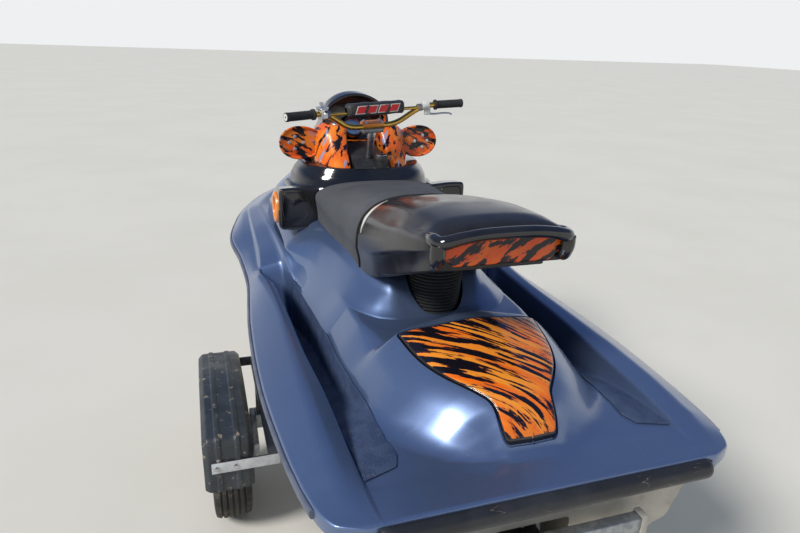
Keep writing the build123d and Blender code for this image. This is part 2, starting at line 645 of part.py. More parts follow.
blade_count, blade_y, blade_pitch = 3, 365.0, 38.0
boss_r, boss_long, blade_reach = 24.0, 80.0, 60.0
shaft_y0 = pump_y0 + 20
with BuildPart() as impeller:
    with Locations(Location((0, (shaft_y0 + shaft_y1) / 2, pump_z), (90, 0, 0))):
        Cylinder(shaft_r, shaft_y1 - shaft_y0)
    with Locations(Location((0, blade_y, pump_z), (90, 0, 0))):
        Cylinder(boss_r, boss_long)
        for i in range(blade_count):
            with Locations(Location((0, 0, 0), (0, 0, 360 * i / blade_count))):
                with Locations(Location((blade_reach - 20, 0, 0), (blade_pitch, 0, 0))):
                    Box(40, 6, boss_long - 2)
impeller.part.label = "impeller"

nozzle_turn = -bar_turn * 2 / 3
with BuildPart() as nozzle:
    for wall, mode in ((0, Mode.ADD), (nozzle_wall, Mode.SUBTRACT)):
        with BuildPart(mode=Mode.PRIVATE) as cone:
            for y, r in ((nozzle_y1, nozzle_throat), (nozzle_y0, nozzle_mouth)):
                with BuildSketch(Plane.XZ.offset(-y)):
                    with Locations((0, pump_z)):
                        Circle(r - wall)
            loft()
        add(cone.part, mode=mode)
    with Locations((0, pivot_y, pump_z)):
        Cylinder(pin_r + fit, 4 * nozzle_throat, mode=Mode.SUBTRACT)
steering_nozzle = nozzle.part.rotate(Axis((0, pivot_y, 0), (0, 0, 1)), nozzle_turn)
steering_nozzle.label = "steering_nozzle"

plate_thick = 8.0
with BuildPart() as ride_plate:
    with Locations((0, tunnel_y1, bottom_z(tunnel_half))):
        Box(2 * tunnel_half, tunnel_y1 - 30, plate_thick, align=(Align.CENTER, Align.MAX, Align.MIN))
ride_plate.part.label = "ride_plate"

bar_pitch, slot_wide, grate_rim = 26.0, 18.0, 12.0
with BuildPart() as intake_grate:
    with Locations((0, (tunnel_y1 + intake_y1) / 2, bottom_z(intake_half) + plate_thick / 2)):
        Box(2 * intake_half, intake_y1 - tunnel_y1, plate_thick)
        with GridLocations(bar_pitch, 0, 5, 1):
            Box(slot_wide, intake_y1 - tunnel_y1 - 2 * grate_rim, plate_thick, mode=Mode.SUBTRACT)
intake_grate.part.label = "intake_grate"

eye_y, eye_z, eye_hole, eye_thick, eye_high = 2588.0, 240.0, 11.0, 12.0, 36.0
with BuildPart() as bow_eye:
    with Locations((0, eye_y + 24, eye_z)):
        Box(eye_thick, 92, eye_high, align=(Align.CENTER, Align.MAX, Align.CENTER))
    with Locations(Location((0, eye_y, eye_z), (0, 90, 0))):
        Cylinder(eye_hole, 2 * eye_thick, mode=Mode.SUBTRACT)
    add(hull.part, mode=Mode.SUBTRACT)
bow_eye.part.label = "bow_eye"

# Trailer frame of square tube
tube_size, tube_wall = 60.0, 3.0
spine_z = 360.0
frame_z = spine_z - tube_size           # cross beams pass under the spine
spine_y0 = 110.0
coupling_long = 160.0
axle_y, axle_half = 1260.0, 540.0
rear_beam_y, rear_beam_half = 150.0, 330.0
rail_x, rail_wide = 300.0, 40.0
inner = tube_size - 2 * tube_wall


with BuildPart() as spine:
    length = tow_reach - coupling_long - spine_y0
    with Locations((0, spine_y0 + length / 2, spine_z)):
        Box(tube_size, length, tube_size)
        Box(inner, length, inner, mode=Mode.SUBTRACT)
spine.part.label = "spine"

with BuildPart() as cross_beams:
    for y, half in ((axle_y, axle_half), (rear_beam_y, rear_beam_half)):
        with Locations((0, y, frame_z)):
            Box(2 * half, tube_size, tube_size)
            Box(2 * half, inner, inner, mode=Mode.SUBTRACT)
cross_beams.part.label = "cross_beams"

with BuildPart() as side_rails:
    length = axle_y - rear_beam_y - tube_size
    for side in (-1, 1):
        with Locations((side * rail_x, (axle_y + rear_beam_y) / 2, frame_z)):
            Box(rail_wide, length, tube_size)
            Box(rail_wide - 2 * tube_wall, length, inner, mode=Mode.SUBTRACT)
side_rails.part.label = "side_rails"

brace_x, brace_y1, brace_wide = 440.0, 2150.0, 44.0
with BuildPart() as braces:
    for side in (-1, 1):
        y0 = axle_y + tube_size / 2
        add(prism([(side * x, y) for x, y in (
            (brace_x - brace_wide / 2, y0), (brace_x + brace_wide / 2, y0), (26, brace_y1 + 70), (2, brace_y1 + 70),
            (2, brace_y1))], frame_z - tube_size / 2, frame_z + tube_size / 2))
braces.part.label = "braces"

# Carpeted bunks that carry the hull, on short posts
bunk_y0, bunk_y1, bunk_wide, bunk_thick = 300.0, 1640.0, 90.0, 38.0
post_wide, post_long = 36.0, 60.0


def under_hull(x, drop):
    """Point under the planing bottom, above the ground."""
    return x, keel_height + bottom_z(x) - fit - drop


with BuildPart() as bunks:
    for side in (-1, 1):
        x0, x1 = rail_x - bunk_wide / 2, rail_x + bunk_wide / 2
        outline = [(side * x, z) for x, z in (under_hull(x0, 0), under_hull(x1, 0), under_hull(x1, bunk_thick),
                                              under_hull(x0, bunk_thick))]
        add(ruled_body([(bunk_y0, outline), (bunk_y1, outline)]))
bunks.part.label = "bunks"

with BuildPart() as bunk_posts:
    foot = frame_z + tube_size / 2
    x0, x1 = rail_x - post_wide / 2, rail_x + post_wide / 2
    for side in (-1, 1):
        outline = [(side * x, z) for x, z in ((x0, foot), (x1, foot), under_hull(x1, bunk_thick),
                                              under_hull(x0, bunk_thick))]
        for y in (430.0, axle_y):
            add(ruled_body([(y - post_long / 2, outline), (y + post_long / 2, outline)]))
bunk_posts.part.label = "bunk_posts"

# Running gear
wheel_y, wheel_x = 1160.0, 652.0
tyre_r, tyre_wide, rim_r, rim_wide = 243.0, 136.0, 127.0, 112.0
rim_wall, disc_thick, hub_wide, hub_out = 10.0, 10.0, 92.0, 38.0
arm_thick, stub_r = 22.0, 15.0
arm_side = [(1120, 212), (1120, 274), (1230, frame_z + 30), (1290, frame_z + 30), (1290, frame_z - 30), (1200, 212)]
with BuildPart() as axle_arms:
    for side in (-1, 1):
        with BuildSketch(Plane.YZ.offset(side * axle_half)):
            with BuildLine():
                Polyline(*arm_side, close=True)
            make_face()
        extrude(amount=side * arm_thick)
        with Locations(Location((side * (axle_half + arm_thick), wheel_y, tyre_r), (0, side * 90, 0))):
            Cylinder(stub_r, wheel_x - axle_half - arm_thick + 20, align=(Align.CENTER, Align.CENTER, Align.MIN))
axle_arms.part.label = "axle_arms"

# columns: distance from the middle plane, radius
tyre_section = [
    (50, rim_r), (64, rim_r + 22), (tyre_wide / 2, (rim_r + tyre_r) / 2), (63, tyre_r - 14), (50, tyre_r)]
wheels = []
for name, side in (("left", -1), ("right", 1)):
    centre = (side * wheel_x, wheel_y, tyre_r)
    with BuildPart() as rim:
        with Locations(Location(centre, (0, 90, 0))):
            Cylinder(rim_r, rim_wide)
            Cylinder(rim_r - rim_wall, rim_wide, mode=Mode.SUBTRACT)
            with Locations((0, 0, side * 14)):
                Cylinder(rim_r - rim_wall / 2, disc_thick)
            with Locations((0, 0, side * -8)):
                Cylinder(hub_out, hub_wide)
            with Locations((0, 0, side * -30)):
                Cylinder(stub_r + fit, rim_wide, mode=Mode.SUBTRACT)
    rim.part.label = f"rim_{name}"
    with BuildPart() as tyre:
        with BuildSketch():
            with BuildLine():
                Polyline(*(tyre_section + [(-x, r) for x, r in reversed(tyre_section)]), close=True)
            make_face()
        revolve(axis=Axis.X)
    turned_tyre = tyre.part.moved(Location(centre))
    turned_tyre.label = f"tyre_{name}"
    wheels += [rim.part, turned_tyre]

# Mudguards: a ribbed section carried along a bent line over each wheel
guard_line = [(802, 352), (802, 546), (1190, 562), (1448, 516), (1500, 400)]
guard_x0, guard_x1, guard_thick = 586.0, 736.0, 4.0
guard_chamfer, guard_skirt = 14.0, 20.0
rib_wide, rib_high = 8.0, 4.0


def guard_half():
    """Outer face of the guard's section: x from its inner side, and height above the line."""
    wide = guard_x1 - guard_x0
    points = [(0, -guard_skirt), (0, -guard_chamfer), (guard_chamfer, 0)]
    for middle in (0.3 * wide, 0.7 * wide):
        points += [(middle - rib_wide, 0), (middle - rib_wide / 2, rib_high), (middle + rib_wide / 2, rib_high),
                   (middle + rib_wide, 0)]
    return points + [(wide - guard_chamfer, 0), (wide, -guard_chamfer), (wide, -guard_skirt)]


def guard_wire(side, i):
    """The section at one corner of the guard's line, on the plane that halves the corner."""
    here = Vector(0, *guard_line[i])
    before = (here - Vector(0, *guard_line[i - 1])).normalized() if i else None
    after = (Vector(0, *guard_line[i + 1]) - here).normalized() if i + 1 < len(guard_line) else None
    first, last = before or after, after or before
    up_a, up_b = Vector(0, -first.Z, first.Y), Vector(0, -last.Z, last.Y)
    up = (up_a + up_b).normalized()
    up = up / up.dot(up_a)
    outer = guard_half()
    inner = [(x + (guard_thick if x == 0 else -guard_thick if x == guard_x1 - guard_x0 else 0),
              z - (guard_thick if abs(z) < guard_chamfer else 0)) for x, z in outer]
    points = [here + up * z + Vector(side * (guard_x0 + x), 0, 0) for x, z in outer + inner[::-1]]
    return Wire.make_polygon(points, close=True)


with BuildPart() as mudguards:
    for side in (-1, 1):
        add(Solid.make_loft([guard_wire(side, i) for i in range(len(guard_line))], ruled=True))
mudguards.part.label = "mudguards"

# Angle iron and flat bars that carry the guards
iron_x, iron_z, iron_size, iron_thick = 505.0, 436.0, 30.0, 6.0
flat_thick, flat_high, flat_x1 = 5.0, 40.0, 712.0
guard_y0, guard_y1 = guard_line[0][0] - rib_high, 1461.0
with BuildPart() as guard_brackets:
    for side in (-1, 1):
        with Locations((side * (iron_x + iron_size / 2), (guard_y0 + guard_y1) / 2, iron_z + iron_size / 2)):
            Box(iron_size, guard_y1 - guard_y0, iron_size)
            with Locations((-side * iron_thick / 2, 0, -iron_thick / 2)):
                Box(iron_size - iron_thick, guard_y1 - guard_y0, iron_size - iron_thick, mode=Mode.SUBTRACT)
        with Locations((side * (iron_x + iron_size / 2), axle_y, iron_z)):
            Box(iron_size, 40, iron_z - frame_z - tube_size / 2, align=(Align.CENTER, Align.CENTER, Align.MAX))
        for y, end in ((guard_y0 - flat_thick, flat_x1), (guard_y1 - 2, guard_x0)):
            with Locations((side * (iron_x + end) / 2, y, iron_z + iron_size + 2)):
                Box(end - iron_x, flat_thick, flat_high, align=(Align.CENTER, Align.MIN, Align.MAX))
guard_brackets.part.label = "guard_brackets"

# Rear bar on its posts, and the webbing that ties the stern down to it
bar_half_wide, bar_y, bar_z, bar_high, bar_deep = 290.0, 52.0, 660.0, 36.0, 30.0
rear_post_x = 250.0
with BuildPart() as rear_bar:
    with Locations((0, bar_y, bar_z)):
        Box(2 * bar_half_wide, bar_deep, bar_high)
    for side in (-1, 1):
        with Locations((side * rear_post_x, bar_y, bar_z)):
            Box(bar_deep, bar_deep, bar_z - frame_z + 20, align=(Align.CENTER, Align.CENTER, Align.MAX))
        with Locations((side * rear_post_x, rear_beam_y - tube_size / 2, frame_z)):
            Box(bar_deep, rear_beam_y - tube_size / 2 - bar_y, 40, align=(Align.CENTER, Align.MAX, Align.CENTER))
rear_bar.part.label = "rear_bar"

web_wide, web_thick, web_drop = 18.0, 4.0, 210.0
with BuildPart() as stern_strap:
    with Locations((rear_post_x + 30, bar_y, bar_z)):
        Box(web_wide, bar_deep + 2 * web_thick, bar_high + 2 * web_thick)
        Box(web_wide, bar_deep, bar_high, mode=Mode.SUBTRACT)
        with Locations((0, -bar_deep / 2, 0)):
            Box(web_wide, web_thick, web_drop, align=(Align.CENTER, Align.MAX, Align.MAX))
stern_strap.part.label = "stern_strap"

# Winch post, winch, strap and bow stop
post_y, post_size, post_top = 2820.0, 50.0, keel_height + 430.0
post_back = post_y - post_size / 2
stop_y0, stop_size = 2640.0, (70.0, 50.0)
with BuildPart() as winch_post:
    with Locations((0, post_y, spine_z + tube_size / 2)):
        Box(post_size, post_size, post_top - spine_z - tube_size / 2, align=(Align.CENTER, Align.CENTER, Align.MIN))
winch_post.part.label = "winch_post"

keel_up = Location((0, 0, keel_height))
with BuildPart() as bow_stop:
    with Locations((0, post_back, post_top - 40)):
        Box(stop_size[0], post_back - stop_y0, stop_size[1], align=(Align.CENTER, Align.MAX, Align.CENTER))
    add(hull.part.moved(keel_up), mode=Mode.SUBTRACT)
    add(deck.part.moved(keel_up), mode=Mode.SUBTRACT)
bow_stop.part.label = "bow_stop"

drum_y, drum_r, drum_wide = 2742.0, 26.0, 70.0
drum_z = keel_height + eye_z - drum_r
crank_x, crank_long, knob_r, knob_long = 112.0, 146.0, 13.0, 80.0
cheek = 4.0
with BuildPart() as winch:
    with Locations(Location((0, drum_y, drum_z), (0, 90, 0))):
        Cylinder(drum_r, drum_wide)
        Cylinder(9, 2 * crank_x, align=(Align.CENTER, Align.CENTER, Align.MIN))
    length = post_back - drum_y + drum_r + 6
    with Locations((0, post_back, drum_z - 6)):
        for side in (-1, 1):
            with Locations((side * (drum_wide + cheek) / 2, 0, 0)):
                Box(cheek, length, 76, align=(Align.CENTER, Align.MAX, Align.CENTER))
        Box(drum_wide + 2 * cheek, 6, 76, align=(Align.CENTER, Align.MAX, Align.CENTER))
    with Locations((crank_x, drum_y, drum_z - 11)):
        Box(8, 22, crank_long, align=(Align.CENTER, Align.CENTER, Align.MIN))
    with Locations(Location((crank_x, drum_y, drum_z + crank_long - 24), (0, 90, 0))):
        Cylinder(knob_r, knob_long, align=(Align.CENTER, Align.CENTER, Align.MIN))
winch.part.label = "winch"

strap_wide, strap_thick = 48.0, 3.0
with BuildPart() as winch_strap:
    with Locations((0, drum_y, drum_z + drum_r + fit)):
        Box(strap_wide, drum_y - eye_y - 24, strap_thick, align=(Align.CENTER, Align.MAX, Align.MIN))
winch_strap.part.label = "winch_strap"

# Tow coupling: sleeve on the spine, head with the ball socket, and its lever
ball_r, socket_deep, head_r, head_high = 25.4, 32.0, 38.0, 60.0
sleeve_size, sleeve_long = tube_size + 16.0, 100.0
ball_y = tow_reach - head_r
with BuildPart() as coupling:
    with Locations((0, tow_reach - coupling_long, spine_z)):
        Box(sleeve_size, 2 * sleeve_long, sleeve_size)
        Box(tube_size, sleeve_long, tube_size, align=(Align.CENTER, Align.MAX, Align.CENTER), mode=Mode.SUBTRACT)
    with Locations((0, ball_y, spine_z)):
        Cylinder(head_r, head_high)
        Box(2 * head_r, coupling_long - sleeve_long, head_high, align=(Align.CENTER, Align.MAX, Align.CENTER))
        with Locations((0, 0, -head_high / 2)):
            Cylinder(ball_r, socket_deep, align=(Align.CENTER, Align.CENTER, Align.MIN), mode=Mode.SUBTRACT)
    with Locations((0, tow_reach - coupling_long / 2, spine_z + head_high / 2)):
        Box(18, 40, 34, align=(Align.CENTER, Align.CENTER, Align.MIN))
        with Locations(Location((0, -40, 28), (12, 0, 0))):
            Box(18, 150, 14)
coupling.part.label = "coupling"

# Jockey wheel: clamped outer tube, sliding stem, swivelling fork and wheel
jockey_x, jockey_y = 84.0, 3100.0
sleeve_r, sleeve_bore, slider_r = 24.0, 20.0, 19.5
jockey_r, jockey_wide, trail, spindle_r = 92.0, 50.0, 42.0, 8.0
fork_z, fork_thick, fork_leg, swivel_r, swivel_long = 204.0, 8.0, 6.0, 10.0, 11.0
clamp_long, clamp_wall, sleeve_top = 44.0, 6.0, 675.0
crank_reach, crank_high = 100.0, 60.0
stem_z0 = fork_z + fork_thick + run
with BuildPart() as jockey_clamp:
    with Locations((tube_size / 2, jockey_y, spine_z)):
        Box(jockey_x - tube_size / 2, clamp_long, clamp_long, align=(Align.MIN, Align.CENTER, Align.CENTER))
    with Locations((jockey_x, jockey_y, spine_z - clamp_long / 2)):
        Cylinder(sleeve_r + clamp_wall, clamp_long, align=(Align.CENTER, Align.CENTER, Align.MIN))
        Cylinder(sleeve_r, sleeve_top - spine_z + clamp_long / 2, align=(Align.CENTER, Align.CENTER, Align.MIN))
        Cylinder(sleeve_bore, sleeve_top, mode=Mode.SUBTRACT)
    with Locations((jockey_x, jockey_y, sleeve_top)):
        Cylinder(sleeve_bore, clamp_long, mode=Mode.SUBTRACT)
jockey_clamp.part.label = "jockey_clamp"

with BuildPart() as jockey_stem:
    top = sleeve_top + 20
    with Locations((jockey_x, jockey_y, stem_z0)):
        Cylinder(slider_r, top - stem_z0, align=(Align.CENTER, Align.CENTER, Align.MIN))
        Cylinder(swivel_r + fit, 2 * swivel_long, mode=Mode.SUBTRACT)
    with Locations((jockey_x + 20, jockey_y, top)):
        Box(crank_reach + 30, 18, 10, align=(Align.MAX, Align.CENTER, Align.MIN))
    with Locations((jockey_x - crank_reach, jockey_y, top + 10)):
        Cylinder(11, crank_high, align=(Align.CENTER, Align.CENTER, Align.MIN))
jockey_stem.part.label = "jockey_stem"

with BuildPart() as jockey_fork:
    with Locations((jockey_x, jockey_y - trail / 2, fork_z)):
        Box(2 * spindle_r + jockey_wide + 12, trail + 60, fork_thick, align=(Align.CENTER, Align.CENTER, Align.MIN))
    with Locations((jockey_x, jockey_y, fork_z)):
        Cylinder(swivel_r, fork_thick + swivel_long, align=(Align.CENTER, Align.CENTER, Align.MIN))
    for side in (-1, 1):
        with Locations((jockey_x + side * (spindle_r + jockey_wide / 2 + 3), jockey_y - trail, fork_z)):
            Box(fork_leg, 44, fork_z - jockey_r + 22, align=(Align.CENTER, Align.CENTER, Align.MAX))
    with Locations(Location((jockey_x, jockey_y - trail, jockey_r), (0, 90, 0))):
        Cylinder(spindle_r, 2 * spindle_r + jockey_wide + 24)
jockey_fork.part.label = "jockey_fork"

with BuildPart() as jockey_wheel:
    with Locations(Location((jockey_x, jockey_y - trail, jockey_r), (0, 90, 0))):
        Cylinder(jockey_r, jockey_wide)
    fillet(jockey_wheel.edges().filter_by(GeomType.CIRCLE), 10)
    with Locations(Location((jockey_x, jockey_y - trail, jockey_r), (0, 90, 0))):
        Cylinder(spindle_r + fit, jockey_wide, mode=Mode.SUBTRACT)
jockey_wheel.part.label = "jockey_wheel"

on_craft = [hull.part, deck.part, rear_cover.part, engine.part, console.part, bow_cowl.part, front_hatch.part,
            seat_base.part, seat_tail.part, seat_pad.part, tail_panel.part, grab_handle.part, bellows.part,
            collar.part, pillars.part, side_pods.part, vent_rings.part, column_base.part, fuel_cap.part,
            handlebar, bar_pad, grips, bar_controls, steering_stem, gauge_hood.part, mirrors.part,
            rub_rails.part, stern_bumper.part, pump_housing.part, impeller.part, steering_nozzle,
            ride_plate.part, intake_grate.part, bow_eye.part]
on_trailer = wheels + [spine.part, cross_beams.part, side_rails.part, braces.part, bunks.part, bunk_posts.part,
                       axle_arms.part, mudguards.part, guard_brackets.part, rear_bar.part, stern_strap.part,
                       winch_post.part, bow_stop.part, winch.part, winch_strap.part, coupling.part,
                       jockey_clamp.part, jockey_stem.part, jockey_fork.part, jockey_wheel.part]
for pieces, place in ((on_craft, craft), (on_trailer, trailer)):
    for piece in pieces:
        export_step(piece.moved(place), f"parts/{piece.label}.step")
print(len(on_craft) + len(on_trailer), "pieces")
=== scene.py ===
"""Looks of a sport personal watercraft standing on its small road trailer.

Everything is in metres in the frame of the CAD model: +X to starboard, +Y to the
bow and the tow coupling, +Z up, the origin on the ground. The forms are worked
out in millimetres from the stern edge and the keel, as the source of the part
has them, and placed once at the end.
"""
import json

import bmesh
import bpy
import numpy as np
from mathutils import Matrix, Vector


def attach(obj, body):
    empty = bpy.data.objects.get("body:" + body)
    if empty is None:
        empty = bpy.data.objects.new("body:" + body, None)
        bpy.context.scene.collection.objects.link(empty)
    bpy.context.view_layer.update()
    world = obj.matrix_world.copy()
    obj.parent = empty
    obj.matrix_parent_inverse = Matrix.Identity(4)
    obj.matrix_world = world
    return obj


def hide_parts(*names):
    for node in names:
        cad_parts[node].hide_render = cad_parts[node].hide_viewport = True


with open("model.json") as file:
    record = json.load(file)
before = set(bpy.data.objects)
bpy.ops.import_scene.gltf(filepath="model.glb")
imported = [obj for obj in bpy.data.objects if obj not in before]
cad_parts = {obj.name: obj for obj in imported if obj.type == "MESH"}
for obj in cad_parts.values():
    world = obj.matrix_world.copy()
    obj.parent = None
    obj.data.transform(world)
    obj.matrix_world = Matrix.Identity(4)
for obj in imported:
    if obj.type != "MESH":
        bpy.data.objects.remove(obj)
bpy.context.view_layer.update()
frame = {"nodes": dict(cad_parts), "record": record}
nodes = frame["nodes"]

STERN = -1772.5             # stern edge of the deck, mm from the middle of the outfit
KEEL = 450.0                # keel above the ground
LEDGE = 500.0               # deck beside the saddle, above the keel
SEAT = 600.0                # top of the saddle
COLLAR_TOP = 785.0
DECK_AFT, DECK_FORE = 12.0, 2705.0
BELLOWS_Y = 785.0
CAP_AT = (42, 1546)         # fuel cap
RAKE = np.radians(17.0)
BAR_TURN = np.radians(10.4)
CLAMP = np.array([0, 1545.0, 952.0])
STEM = np.array([0, -np.sin(RAKE), np.cos(RAKE)])
UP = (0, 0, 1)
SIDES = ((-1, "left"), (1, "right"))


# ---- shapes as arrays ----

def on_craft(p):
    """Millimetres from the stern edge and the keel, as metres in the frame."""
    return (np.asarray(p, float) + [0, STERN, KEEL]) * 0.001


def on_trailer(p):
    """Millimetres from the stern edge and the ground, as metres in the frame."""
    return (np.asarray(p, float) + [0, STERN, 0]) * 0.001


def monotone(table, at):
    """Each column of a table carried between its rows by a monotone cubic.

    The first column is the place. The slope at a row is the weighted harmonic
    mean of the slopes either side, or nought where they differ in sign.
    """
    table = np.asarray(table, float)
    x, v = table[:, 0], table[:, 1:]
    h = np.diff(x)[:, None]
    d = np.diff(v, axis=0) / h
    slope = np.zeros_like(v)
    slope[0], slope[-1] = d[0], d[-1]
    w1, w2 = 2 * h[1:] + h[:-1], h[1:] + 2 * h[:-1]
    same = d[:-1] * d[1:] > 0
    safe = np.where(same, d[:-1], 1), np.where(same, d[1:], 1)
    slope[1:-1] = np.where(same, (w1 + w2) / (w1 / safe[0] + w2 / safe[1]), 0)
    at = np.asarray(at, float)
    i = np.clip(np.searchsorted(x, at, "right") - 1, 0, len(x) - 2)
    s = ((at - x[i]) / h[i, 0])[:, None]
    return ((2 * s**3 - 3 * s**2 + 1) * v[i] + (s**3 - 2 * s**2 + s) * h[i] * slope[i]
            + (3 * s**2 - 2 * s**3) * v[i + 1] + (s**3 - s**2) * h[i] * slope[i + 1])


def rounded(corners, radii, steps=5, closed=True):
    """Outlines with their corners rounded by quadratic arcs.

    corners is (..., K, D) and radii (..., K) or (K,). Each corner is cut back by its
    radius, or by nearly half of the shorter side, and joined by the curve
    (1-t)^2 p + 2t(1-t) corner + t^2 q.
    """
    c = np.asarray(corners, float)
    r = np.broadcast_to(np.asarray(radii, float), c.shape[:-1])
    before, after = np.roll(c, 1, -2), np.roll(c, -1, -2)
    if not closed:
        before[..., 0, :], after[..., -1, :] = c[..., 0, :], c[..., -1, :]
    back, ahead = before - c, after - c
    len_b, len_a = np.linalg.norm(back, axis=-1), np.linalg.norm(ahead, axis=-1)
    cut = np.minimum(r, 0.48 * np.minimum(len_b, len_a))
    p = c + back / np.maximum(len_b, 1e-9)[..., None] * cut[..., None]
    q = c + ahead / np.maximum(len_a, 1e-9)[..., None] * cut[..., None]
    t = np.linspace(0, 1, steps)[:, None]
    arcs = ((1 - t)**2 * p[..., None, :] + 2 * t * (1 - t) * c[..., None, :] + t**2 * q[..., None, :])
    return arcs.reshape(c.shape[:-2] + (-1, c.shape[-1]))


def mirrored(half):
    """Closed outline from a starboard half whose first point is on the centre line."""
    other = half[..., :0:-1, :] * [-1, 1]
    return np.concatenate([half, other], axis=-2)


def both(radii):
    """Radii of a mirrored outline from those of its starboard half."""
    radii = np.asarray(radii, float)
    return np.concatenate([radii, radii[..., :0:-1]], -1)


def whole(half, radii, steps):
    """Rounded closed outline from its starboard half and the half's radii."""
    return rounded(mirrored(np.asarray(half, float)), both(radii), steps)


def columns(points):
    """Outlines (U, K, 2) from K points whose coordinates run along the craft."""
    return np.stack([np.stack(np.broadcast_arrays(*point), -1) for point in points], 1)


def apart(path, gap):
    """Which points of a path lie further than the gap from the one before."""
    return np.concatenate([[True], np.linalg.norm(np.diff(path, axis=0), axis=1) > gap])


def line_through(points, radii, steps, gap=0.5):
    """Open path with rounded corners and no two points closer than the gap."""
    path = rounded(np.asarray(points, float), radii, steps, closed=False)
    return path[apart(path, gap)]


def across(outline, y):
    """Outlines (U, V, 2) in x and z set at places y (U,) along the craft."""
    y = np.broadcast_to(np.asarray(y, float)[:, None], outline.shape[:-1])
    return np.stack([outline[..., 0], y, outline[..., 1]], -1)


def level(outline, z):
    """Outlines (U, V, 2) in x and y set at heights z (U,)."""
    z = np.broadcast_to(np.asarray(z, float)[:, None], outline.shape[:-1])
    return np.stack([outline[..., 0], outline[..., 1], z], -1)


def inset(outline, amount):
    """Closed outline (..., V, 2) moved inwards along its own normals."""
    tangent = np.roll(outline, -1, -2) - np.roll(outline, 1, -2)
    normal = np.stack([tangent[..., 1], -tangent[..., 0]], -1)
    normal /= np.maximum(np.linalg.norm(normal, axis=-1, keepdims=True), 1e-9)
    area = (outline[..., 0] * np.roll(outline[..., 1], -1, -1)
            - outline[..., 1] * np.roll(outline[..., 0], -1, -1)).sum(-1)
    return outline - normal * np.sign(area)[..., None, None] * np.asarray(amount)[..., None, None]


def insets(outline, amounts):
    """One outline (V, 2) moved inwards by each amount in turn."""
    return inset(np.tile(outline, (len(amounts), 1, 1)), np.asarray(amounts, float))


def turned(p, angle=BAR_TURN):
    """Points turned about the raked steering axis to where the bars stand."""
    p = np.asarray(p, float) - CLAMP
    dot = (p @ STEM)[..., None]
    return CLAMP + p * np.cos(angle) + np.cross(STEM, p) * np.sin(angle) + STEM * dot * (1 - np.cos(angle))


def spun(direction):
    """A direction turned with the bars."""
    return turned(CLAMP + direction) - CLAMP


def spread(*spans):
    """Places along spans of (start, end, count), one after the other."""
    return np.concatenate([np.linspace(*span) for span in spans])


# ---- arrays as meshes ----

def mesh_object(name, verts, faces, sharp=38.0, outward=True):
    """Object at the origin with smooth faces, creased where they meet sharply."""
    mesh = bpy.data.meshes.new(name)
    mesh.from_pydata(np.asarray(verts).tolist(), [], faces)
    if outward:
        work = bmesh.new()
        work.from_mesh(mesh)
        bmesh.ops.remove_doubles(work, verts=work.verts, dist=2e-6)
        bmesh.ops.recalc_face_normals(work, faces=work.faces)
        work.to_mesh(mesh)
        work.free()
    obj = bpy.data.objects.new(name, mesh)
    bpy.context.scene.collection.objects.link(obj)
    return soften(obj, sharp)


def soften(obj, sharp=38.0):
    """Smooth shading with creases at edges sharper than the angle."""
    mesh = obj.data
    mesh.polygons.foreach_set("use_smooth", np.ones(len(mesh.polygons), bool))
    mesh.set_sharp_from_angle(angle=np.radians(sharp))
    return obj


def grid(name, p, wrap=True, caps=(True, True), **more):
    """Surface through a grid of points (U, V, 3) in metres; wrap closes it along V."""
    u, v = p.shape[:2]
    i, j = np.meshgrid(np.arange(u - 1), np.arange(v if wrap else v - 1), indexing="ij")
    k = (j + 1) % v
    quads = np.stack([i * v + j, i * v + k, (i + 1) * v + k, (i + 1) * v + j], -1).reshape(-1, 4).tolist()
    if caps[0]:
        quads.append(list(range(v))[::-1])
    if caps[1]:
        quads.append(list(range((u - 1) * v, u * v)))
    return mesh_object(name, p.reshape(-1, 3), quads, **more)


def sheet_of(name, p, thick, edge=0.0, **more):
    """Grid of points given a thickness downwards in metres and rounded edges."""
    obj = grid(name, p, wrap=False, caps=(False, False), outward=False, **more)
    solid = obj.modifiers.new("thickness", "SOLIDIFY")
    solid.thickness, solid.offset = thick, -1
    solid.use_even_offset = True
    if edge:
        round_edges(obj, edge, angle=50)
    return settle(obj)


def round_edges(obj, width, segments=2, angle=30):
    """Bevel in metres on the edges sharper than the angle."""
    bevel = obj.modifiers.new("edges", "BEVEL")
    bevel.width, bevel.segments = width, segments
    bevel.limit_method, bevel.angle_limit = "ANGLE", np.radians(angle)
    bevel.harden_normals = False
    return obj


def settle(obj, sharp=38.0):
    """Applies the modifiers, so that the mesh is what is seen."""
    graph = bpy.context.evaluated_depsgraph_get()
    made = bpy.data.meshes.new_from_object(obj.evaluated_get(graph))
    obj.modifiers.clear()
    obj.data = made
    return soften(obj, sharp)


def carve(obj, *cutters):
    """Cuts closed bodies out of a piece and removes them."""
    for cutter in cutters:
        cut = obj.modifiers.new("cut", "BOOLEAN")
        cut.operation, cut.object, cut.solver = "DIFFERENCE", cutter, "EXACT"
        settle(obj)
        bpy.data.objects.remove(cutter)
    return obj


def joined(name, *objs):
    """One piece from several that share a body."""
    with bpy.context.temp_override(active_object=objs[0], selected_editable_objects=list(objs)):
        bpy.ops.object.join()
    objs[0].name = name
    objs[0].data.name = name
    return objs[0]


def ring_frame(axis):
    """Two directions square to an axis and to each other."""
    a = np.asarray(axis, float) / np.linalg.norm(axis)
    ref = np.array([0, 0, 1.0]) if abs(a[2]) < 0.8 else np.array([0, 1.0, 0])
    b = np.cross(ref, a)
    b /= np.linalg.norm(b)
    return a, b, np.cross(a, b)


